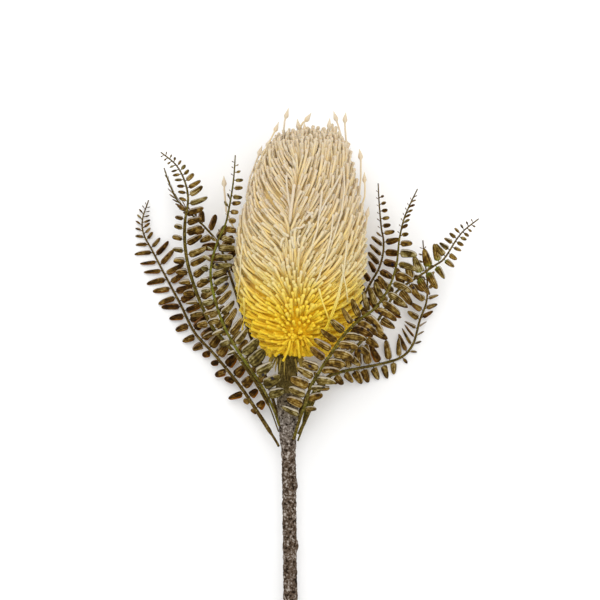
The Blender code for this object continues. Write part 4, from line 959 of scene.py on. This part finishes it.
def bent_leaflet(flat, start, along, side, face, sign, size, hook, taper, draw):
    """A copy of the flat leaflet, set on its rib: leaned, turned, curved towards the tip and drooping."""
    length, width, lean, turn = size
    roundness = min(1, max(0, (6.6 - length) / 3.0))
    length = 0.001 * (length * draw.uniform(0.98, 1.12) + 1.2 * roundness)
    width *= 0.001 * draw.uniform(0.92, 1.10) * (1 - 0.12 * roundness)
    lean += draw.gauss(0, 4)
    turn += draw.gauss(0, 15)
    hook += draw.uniform(-9, 9)
    droop = draw.uniform(-6, 20)
    cup = draw.uniform(-0.5, 0.7)
    twist = math.radians(draw.gauss(0, 16))
    marks = np.array([row[0] for row in LEAF_STATIONS])
    wide = np.array([row[1] for row in LEAF_STATIONS])
    blade = np.clip((marks - 0.08) / 0.92, 0, 1)
    oval = np.where(marks > 0.08, np.sqrt(np.maximum(0.01, 1 - (2 * blade - 1) ** 2)), wide)
    taper = max(0, taper + draw.uniform(-0.10, 0.15))
    wide = wide * (1 + 0.3 * taper - taper * blade)
    wide = wide + (oval - wide) * roundness
    wide = np.maximum(wide, min(0.5, STALK_WIDTH / width))
    wide[:2] = min(0.5, STALK_WIDTH / width)
    stalk = min(0.34, max(0.08, 0.0011 / length))
    t = np.where(marks > 0.08, stalk + blade * (1 - stalk), marks / 0.08 * stalk)
    angle = np.radians(lean + hook * 0.5 - hook * t)[:, None]
    sink = np.radians(droop * (t - 0.15))[:, None]
    flat_way = along * np.cos(angle) + side * sign * np.sin(angle)
    way = flat_way * np.cos(sink) - face * np.sin(sink)
    across = np.cross(face, flat_way)
    normal = np.cross(way, across)
    roll = (math.radians(turn) * sign + twist * t)[:, None]
    across, normal = (across * np.cos(roll) + normal * np.sin(roll),
                      normal * np.cos(roll) - across * np.sin(roll))
    strides = (way[1:] + way[:-1]) / 2 * np.diff(t)[:, None] * length
    line = start + np.concatenate((np.zeros((1, 3)), np.cumsum(strides, 0)))
    line = clear_of_head(line, 0.0006)
    row = np.clip(np.round(flat[:, 0] * (len(t) - 1)).astype(int), 0, len(t) - 1)
    bow = cup * (0.08 - flat[:, 1] ** 2) + flat[:, 2]
    reach = (wide[row] * width)[:, None]
    return line[row] + across[row] * flat[:, 1:2] * reach + normal[row] * bow[:, None] * reach


leaf_skin, tree, shader = new_finish("fern_leaf_skin", 0.6, 0.06)
across = put(tree, "ShaderNodeSeparateXYZ", {0: put(tree, "ShaderNodeUVMap", uv_map="UVMap").outputs[0]})
u, v = across.outputs["X"], across.outputs["Y"]
rust = put(tree, "ShaderNodeAttribute", attribute_name="rust").outputs["Fac"]
tone = put(tree, "ShaderNodeAttribute", attribute_name="tone").outputs["Fac"]
flush = put(tree, "ShaderNodeAttribute", attribute_name="flush").outputs["Fac"]
lead = put(tree, "ShaderNodeAttribute", attribute_name="lead").outputs["Fac"]
here = put(tree, "ShaderNodeTexCoord").outputs["Object"]
weave = put(tree, "ShaderNodeTexNoise", {"Vector": here, "Scale": 520.0, "Detail": 4.0,
                                         "Roughness": 0.65}).outputs[0]
place = put(tree, "ShaderNodeCombineXYZ", {"X": sums(tree, "MULTIPLY", u, 3.6),
                                           "Y": sums(tree, "MULTIPLY", v, 6.5),
                                           "Z": sums(tree, "MULTIPLY", tone, 60.0)}).outputs[0]
vein = put(tree, "ShaderNodeTexNoise", {"Vector": place, "Scale": 1.0, "Detail": 2.0}).outputs[0]
# Painted highlight on the ridges and painted shade in the grooves, where the mesh has them, broken up by the
# leaflets' own streaks so that each leaflet is streaked in its own way
ridge_highlight_groove_shade = sums(tree, "COSINE", sums(tree, "MULTIPLY", v, 8 * math.pi), 0.0)
relief = sums(tree, "MULTIPLY", ridge_highlight_groove_shade, stretched(tree, tone, 0.0, 1.0, -0.13, 0.0))
relief = sums(tree, "ADD", relief, sums(tree, "MULTIPLY", vein, 0.9))
relief = sums(tree, "ADD", relief, sums(tree, "MULTIPLY", weave, 0.9))
blotch = put(tree, "ShaderNodeTexNoise", {"Vector": here, "Scale": 210.0, "Detail": 1.0}).outputs[0]
relief = sums(tree, "ADD", relief, stretched(tree, blotch, 0.35, 0.62, -0.20, 0.10))
relief = stretched(tree, relief, 0.50, 1.26)
middle = sums(tree, "ABSOLUTE", sums(tree, "SUBTRACT", v, 0.5), 0.0)
rim = stretched(tree, sums(tree, "ADD", middle, sums(tree, "MULTIPLY", weave, 0.08)), 0.41, 0.49)
rim = sums(tree, "MAXIMUM", rim, stretched(tree, u, 0.90, 0.99))
# These ramps turn the relief into colour, so ridge crests come out pale and grooves dark (painted highlight
# and painted shade) on top of each leaflet's own streaks and mottling
olive = steps_of(tree, relief, [(0.0, paint(34, 25, 5)), (0.34, paint(72, 59, 20)),
                                (0.56, paint(112, 98, 48)), (0.76, paint(150, 139, 93)),
                                (1.0, paint(186, 176, 142))])
olive = mixed(tree, sums(tree, "MULTIPLY", rim, 0.85), olive, paint(44, 31, 5))
golden = steps_of(tree, relief, [(0.0, paint(30, 18, 1)), (0.34, paint(72, 48, 10)),
                                 (0.58, paint(119, 90, 30)), (0.80, paint(158, 131, 68)),
                                 (1.0, paint(187, 168, 122))])
golden = mixed(tree, sums(tree, "MULTIPLY", rim, 0.7), golden, paint(74, 43, 3))
rusty = steps_of(tree, relief, [(0.0, paint(22, 10, 1)), (0.36, paint(44, 25, 3)), (0.62, paint(82, 53, 10)),
                                (0.84, paint(121, 88, 30)), (1.0, paint(150, 122, 72))])
rusty = mixed(tree, sums(tree, "MULTIPLY", rim, 0.8), rusty, paint(146, 86, 8))
shade = mixed(tree, stretched(tree, rust, 0.0, 0.5), olive, golden)
shade = mixed(tree, stretched(tree, rust, 0.5, 1.0), shade, rusty)
shade = mixed(tree, sums(tree, "MULTIPLY", flush, stretched(tree, u, 0.42, 0.12)), shade, paint(98, 122, 24))
# Painted highlight: the edge towards the frond's tip is painted pale cream, as if it caught the light, but
# not on the rusty ones
front = sums(tree, "MULTIPLY", sums(tree, "SUBTRACT", v, 0.5), lead)
painted_edge_highlight = stretched(tree, sums(tree, "ADD", front, sums(tree, "MULTIPLY", weave, 0.16)), 0.41, 0.47)
painted_edge_highlight = sums(tree, "MULTIPLY", painted_edge_highlight, stretched(tree, front, 0.495, 0.465))
painted_edge_highlight = sums(tree, "MULTIPLY", painted_edge_highlight, stretched(tree, rust, 1.0, 0.4, 0.08, 0.70))
shade = mixed(tree, painted_edge_highlight, shade, paint(206, 196, 174))
blot = put(tree, "ShaderNodeTexVoronoi", {"Vector": here, "Scale": 130.0})
cell = put(tree, "ShaderNodeSeparateColor", {0: blot.outputs["Color"]}).outputs[0]
edge = sums(tree, "ADD", blot.outputs["Distance"], sums(tree, "MULTIPLY", weave, 0.10))
spot = sums(tree, "MULTIPLY", stretched(tree, edge, 0.22, 0.16), stretched(tree, cell, 0.34, 0.38))
shade = mixed(tree, sums(tree, "MULTIPLY", spot, 0.9), shade, paint(28, 24, 42))
tree.links.new(shade, shader.inputs["Base Color"])
bump = put(tree, "ShaderNodeBump", {"Height": relief, "Strength": 0.8, "Distance": 0.0005})
tree.links.new(bump.outputs[0], shader.inputs["Normal"])

rib_bark, tree, shader = new_finish("fern_rib_bark", 0.65, 0.08)
here = put(tree, "ShaderNodeTexCoord").outputs["Object"]
green = put(tree, "ShaderNodeAttribute", attribute_name="tint").outputs["Fac"]
flock = put(tree, "ShaderNodeGroup", {}, node_tree=flecks)
tree.links.new(here, flock.inputs["Vector"])
flock.inputs["Grain"].default_value = 900.0
flock.inputs["Amount"].default_value = 0.8
patch = put(tree, "ShaderNodeTexNoise", {"Vector": here, "Scale": 160.0, "Detail": 2.0}).outputs[0]
green = sums(tree, "MULTIPLY", green, stretched(tree, patch, 0.36, 0.58, 0.35, 1.0))
shade = mixed(tree, green, paint(84, 63, 20), paint(112, 120, 32))
shade = mixed(tree, flock.outputs["Dark"], shade, paint(44, 30, 6))
shade = mixed(tree, flock.outputs["Pale"], shade, paint(142, 126, 70))
tree.links.new(shade, shader.inputs["Base Color"])
bump = put(tree, "ShaderNodeBump", {"Height": flock.outputs["Height"], "Strength": 0.6, "Distance": 0.0004})
tree.links.new(bump.outputs[0], shader.inputs["Normal"])

rib_shape = modelled_filament("rib", 8, [(i / 130, 1.0) for i in range(131)])
leaf_shape = modelled_leaflet()
leaf_flat = corners_of(leaf_shape.data)
leaf_faces = [tuple(face.vertices) for face in leaf_shape.data.polygons]
leaf_uv = np.empty(len(leaf_shape.data.loops) * 2)
leaf_shape.data.uv_layers[0].data.foreach_get("uv", leaf_uv)

for node, plan in FRONDS.items():
    draw_leaf = random.Random(FERN_SEED + len(node) * 7 + ord(node[6]) + ord(node[-1]))
    degrees, root_y = plan["root"]
    drift, radius = row_at(STEM_PROFILE, root_y)
    root_radius = radius + 0.0003 + 0.00124
    root = (drift + root_radius * math.cos(math.radians(degrees)), root_y,
            root_radius * math.sin(math.radians(degrees)))
    route = clear_of_head(smooth_route([root] + plan["rib"]), 0.00115)
    marks = np.concatenate(([0], np.cumsum(np.linalg.norm(np.diff(route, axis=0), axis=1))))
    length = marks[-1]

    rib = bent_copies(node + "_rib", rib_shape, route[None], np.array([1.0]), np.array([0.0]))
    share = corners_of(rib_shape.data)[:, 2]
    middle_line = np.stack([np.interp(share * length, marks, route[:, i]) for i in range(3)], 1)
    thick = column(plan.get("thickness", RIB_THICKNESS), share) / 1000
    reshape(rib.data, middle_line + (corners_of(rib.data) - middle_line) * thick[:, None])
    greens = np.interp(share, [0, 0.5, 1], plan["green"])
    rib.data.attributes["tint"].data.foreach_set("value", greens.astype(np.float32))
    rib.data.materials.append(rib_bark)

    shapes, rusts, tones, flushes, leads = [], [], [], [], []
    rows = plan["leaflets"]
    for sign, first in ((-1, 2), (1, 6)):
        s = rows[0][0] * length + (0.5 * rows[0][1] * 0.001 if sign > 0 else 0)
        while s < rows[-1][0] * length + 0.001:
            share = s / length
            here_s = s
            size = [column(rows, share, first + i) for i in range(4)]
            s += column(rows, share, 1) * 0.001 * draw_leaf.uniform(0.94, 1.06)
            if size[0] < 0.6:
                continue
            place, ahead, before = (np.array([np.interp(at, marks, route[:, i]) for i in range(3)])
                                    for at in (here_s, here_s + 0.0015, here_s - 0.0015))
            along = unit(ahead - before)
            face = unit(np.array((0, 0, 1)) - along * along[2])
            roll = math.radians(np.interp(share, [0, 0.55, 1], plan["roll"]))
            side = np.cross(along, face)
            side, face = (side * math.cos(roll) - face * math.sin(roll),
                          face * math.cos(roll) + side * math.sin(roll))
            start = place + side * sign * column(plan.get("thickness", RIB_THICKNESS), share) * 0.0005
            hook = plan["hook"][0 if sign < 0 else 1]
            shapes.append(bent_leaflet(leaf_flat, start, along, side, face, sign, size, hook,
                                       plan.get("taper", 0.05), draw_leaf))
            rusty = np.interp(share, [0, 0.5, 1], plan["rust"]) + draw_leaf.gauss(0, 0.20)
            rusts.append(min(1, max(0, rusty)))
            tones.append(draw_leaf.random())
            leads.append(sign)
            flushes.append(0.6 if node == "frond_right_outer" and 0.68 < share < 0.82 else 0.0)
    count = len(leaf_flat)
    mesh = bpy.data.meshes.new(node + "_leaves")
    mesh.from_pydata(np.concatenate(shapes).tolist(), [],
                     [tuple(v + count * i for v in face) for i in range(len(shapes)) for face in leaf_faces])
    mesh.uv_layers.new(name="UVMap").data.foreach_set("uv", np.tile(leaf_uv, len(shapes)))
    for label, values in (("rust", rusts), ("tone", tones), ("flush", flushes), ("lead", leads)):
        values = np.repeat(np.array(values, np.float32), count)
        mesh.attributes.new(label, "FLOAT", "POINT").data.foreach_set("value", values)
    mesh.materials.append(leaf_skin)
    leaves = bpy.data.objects.new(node + "_spray", mesh)
    bpy.context.scene.collection.objects.link(leaves)
    bpy.ops.object.select_all(action="DESELECT")
    rib.select_set(True)
    leaves.select_set(True)
    bpy.context.view_layer.objects.active = leaves
    bpy.ops.object.join()
    lay_down(leaves, "fern_leaf", node)
bpy.data.objects.remove(rib_shape)
bpy.data.objects.remove(leaf_shape)


# The floor, the light and the camera: a plain pale surface under a wide soft light, seen from
# straight above the lying stem, at the height and angle of the photograph.
bpy.ops.object.select_all(action="DESELECT")
bpy.ops.mesh.primitive_plane_add(size=8.0, location=(0, 0, -0.0004))
floor = bpy.context.object
floor.name = "floor"
surface, tree, shader = new_finish("pale_floor", 0.9, 0.1)
here = put(tree, "ShaderNodeTexCoord").outputs["Object"]
speck = put(tree, "ShaderNodeTexNoise", {"Vector": here, "Scale": 6.0, "Detail": 2.0}).outputs[0]
tree.links.new(mixed(tree, speck, (0.95, 0.95, 0.945, 1), (0.96, 0.96, 0.96, 1)), shader.inputs["Base Color"])
floor.data.materials.append(surface)

sky = bpy.data.worlds.new("studio")
sky.use_nodes = True
sky.node_tree.nodes["Background"].inputs["Color"].default_value = (1.0, 1.0, 1.0, 1.0)
sky.node_tree.nodes["Background"].inputs["Strength"].default_value = 0.80
bpy.context.scene.world = sky


def soft_light(name, place, target, size, power):
    light = bpy.data.lights.new(name, "AREA")
    light.size = size
    light.energy = power
    holder = bpy.data.objects.new(name, light)
    holder.location = place
    holder.rotation_euler = (Vector(target) - Vector(place)).to_track_quat("-Z", "Y").to_euler()
    bpy.context.scene.collection.objects.link(holder)


soft_light("key_light", (-0.75, 0.85, 1.35), (0, 0, 0), 1.2, 4.4)
soft_light("fill_light", (1.0, -0.5, 1.2), (0, -0.02, 0), 1.4, 3.8)
soft_light("front_light", (0.0, 0.30, 2.4), (0, 0, 0), 1.2, 18.5)

lens = bpy.data.cameras.new("camera")
lens.lens = 135
lens.sensor_width = 36
camera = bpy.data.objects.new("camera", lens)
bpy.context.scene.collection.objects.link(camera)
camera.matrix_world = lying @ Matrix.Translation((0.00715, 0.0884, 1.4625))
bpy.context.scene.camera = camera
bpy.context.scene.view_settings.view_transform = "Standard"
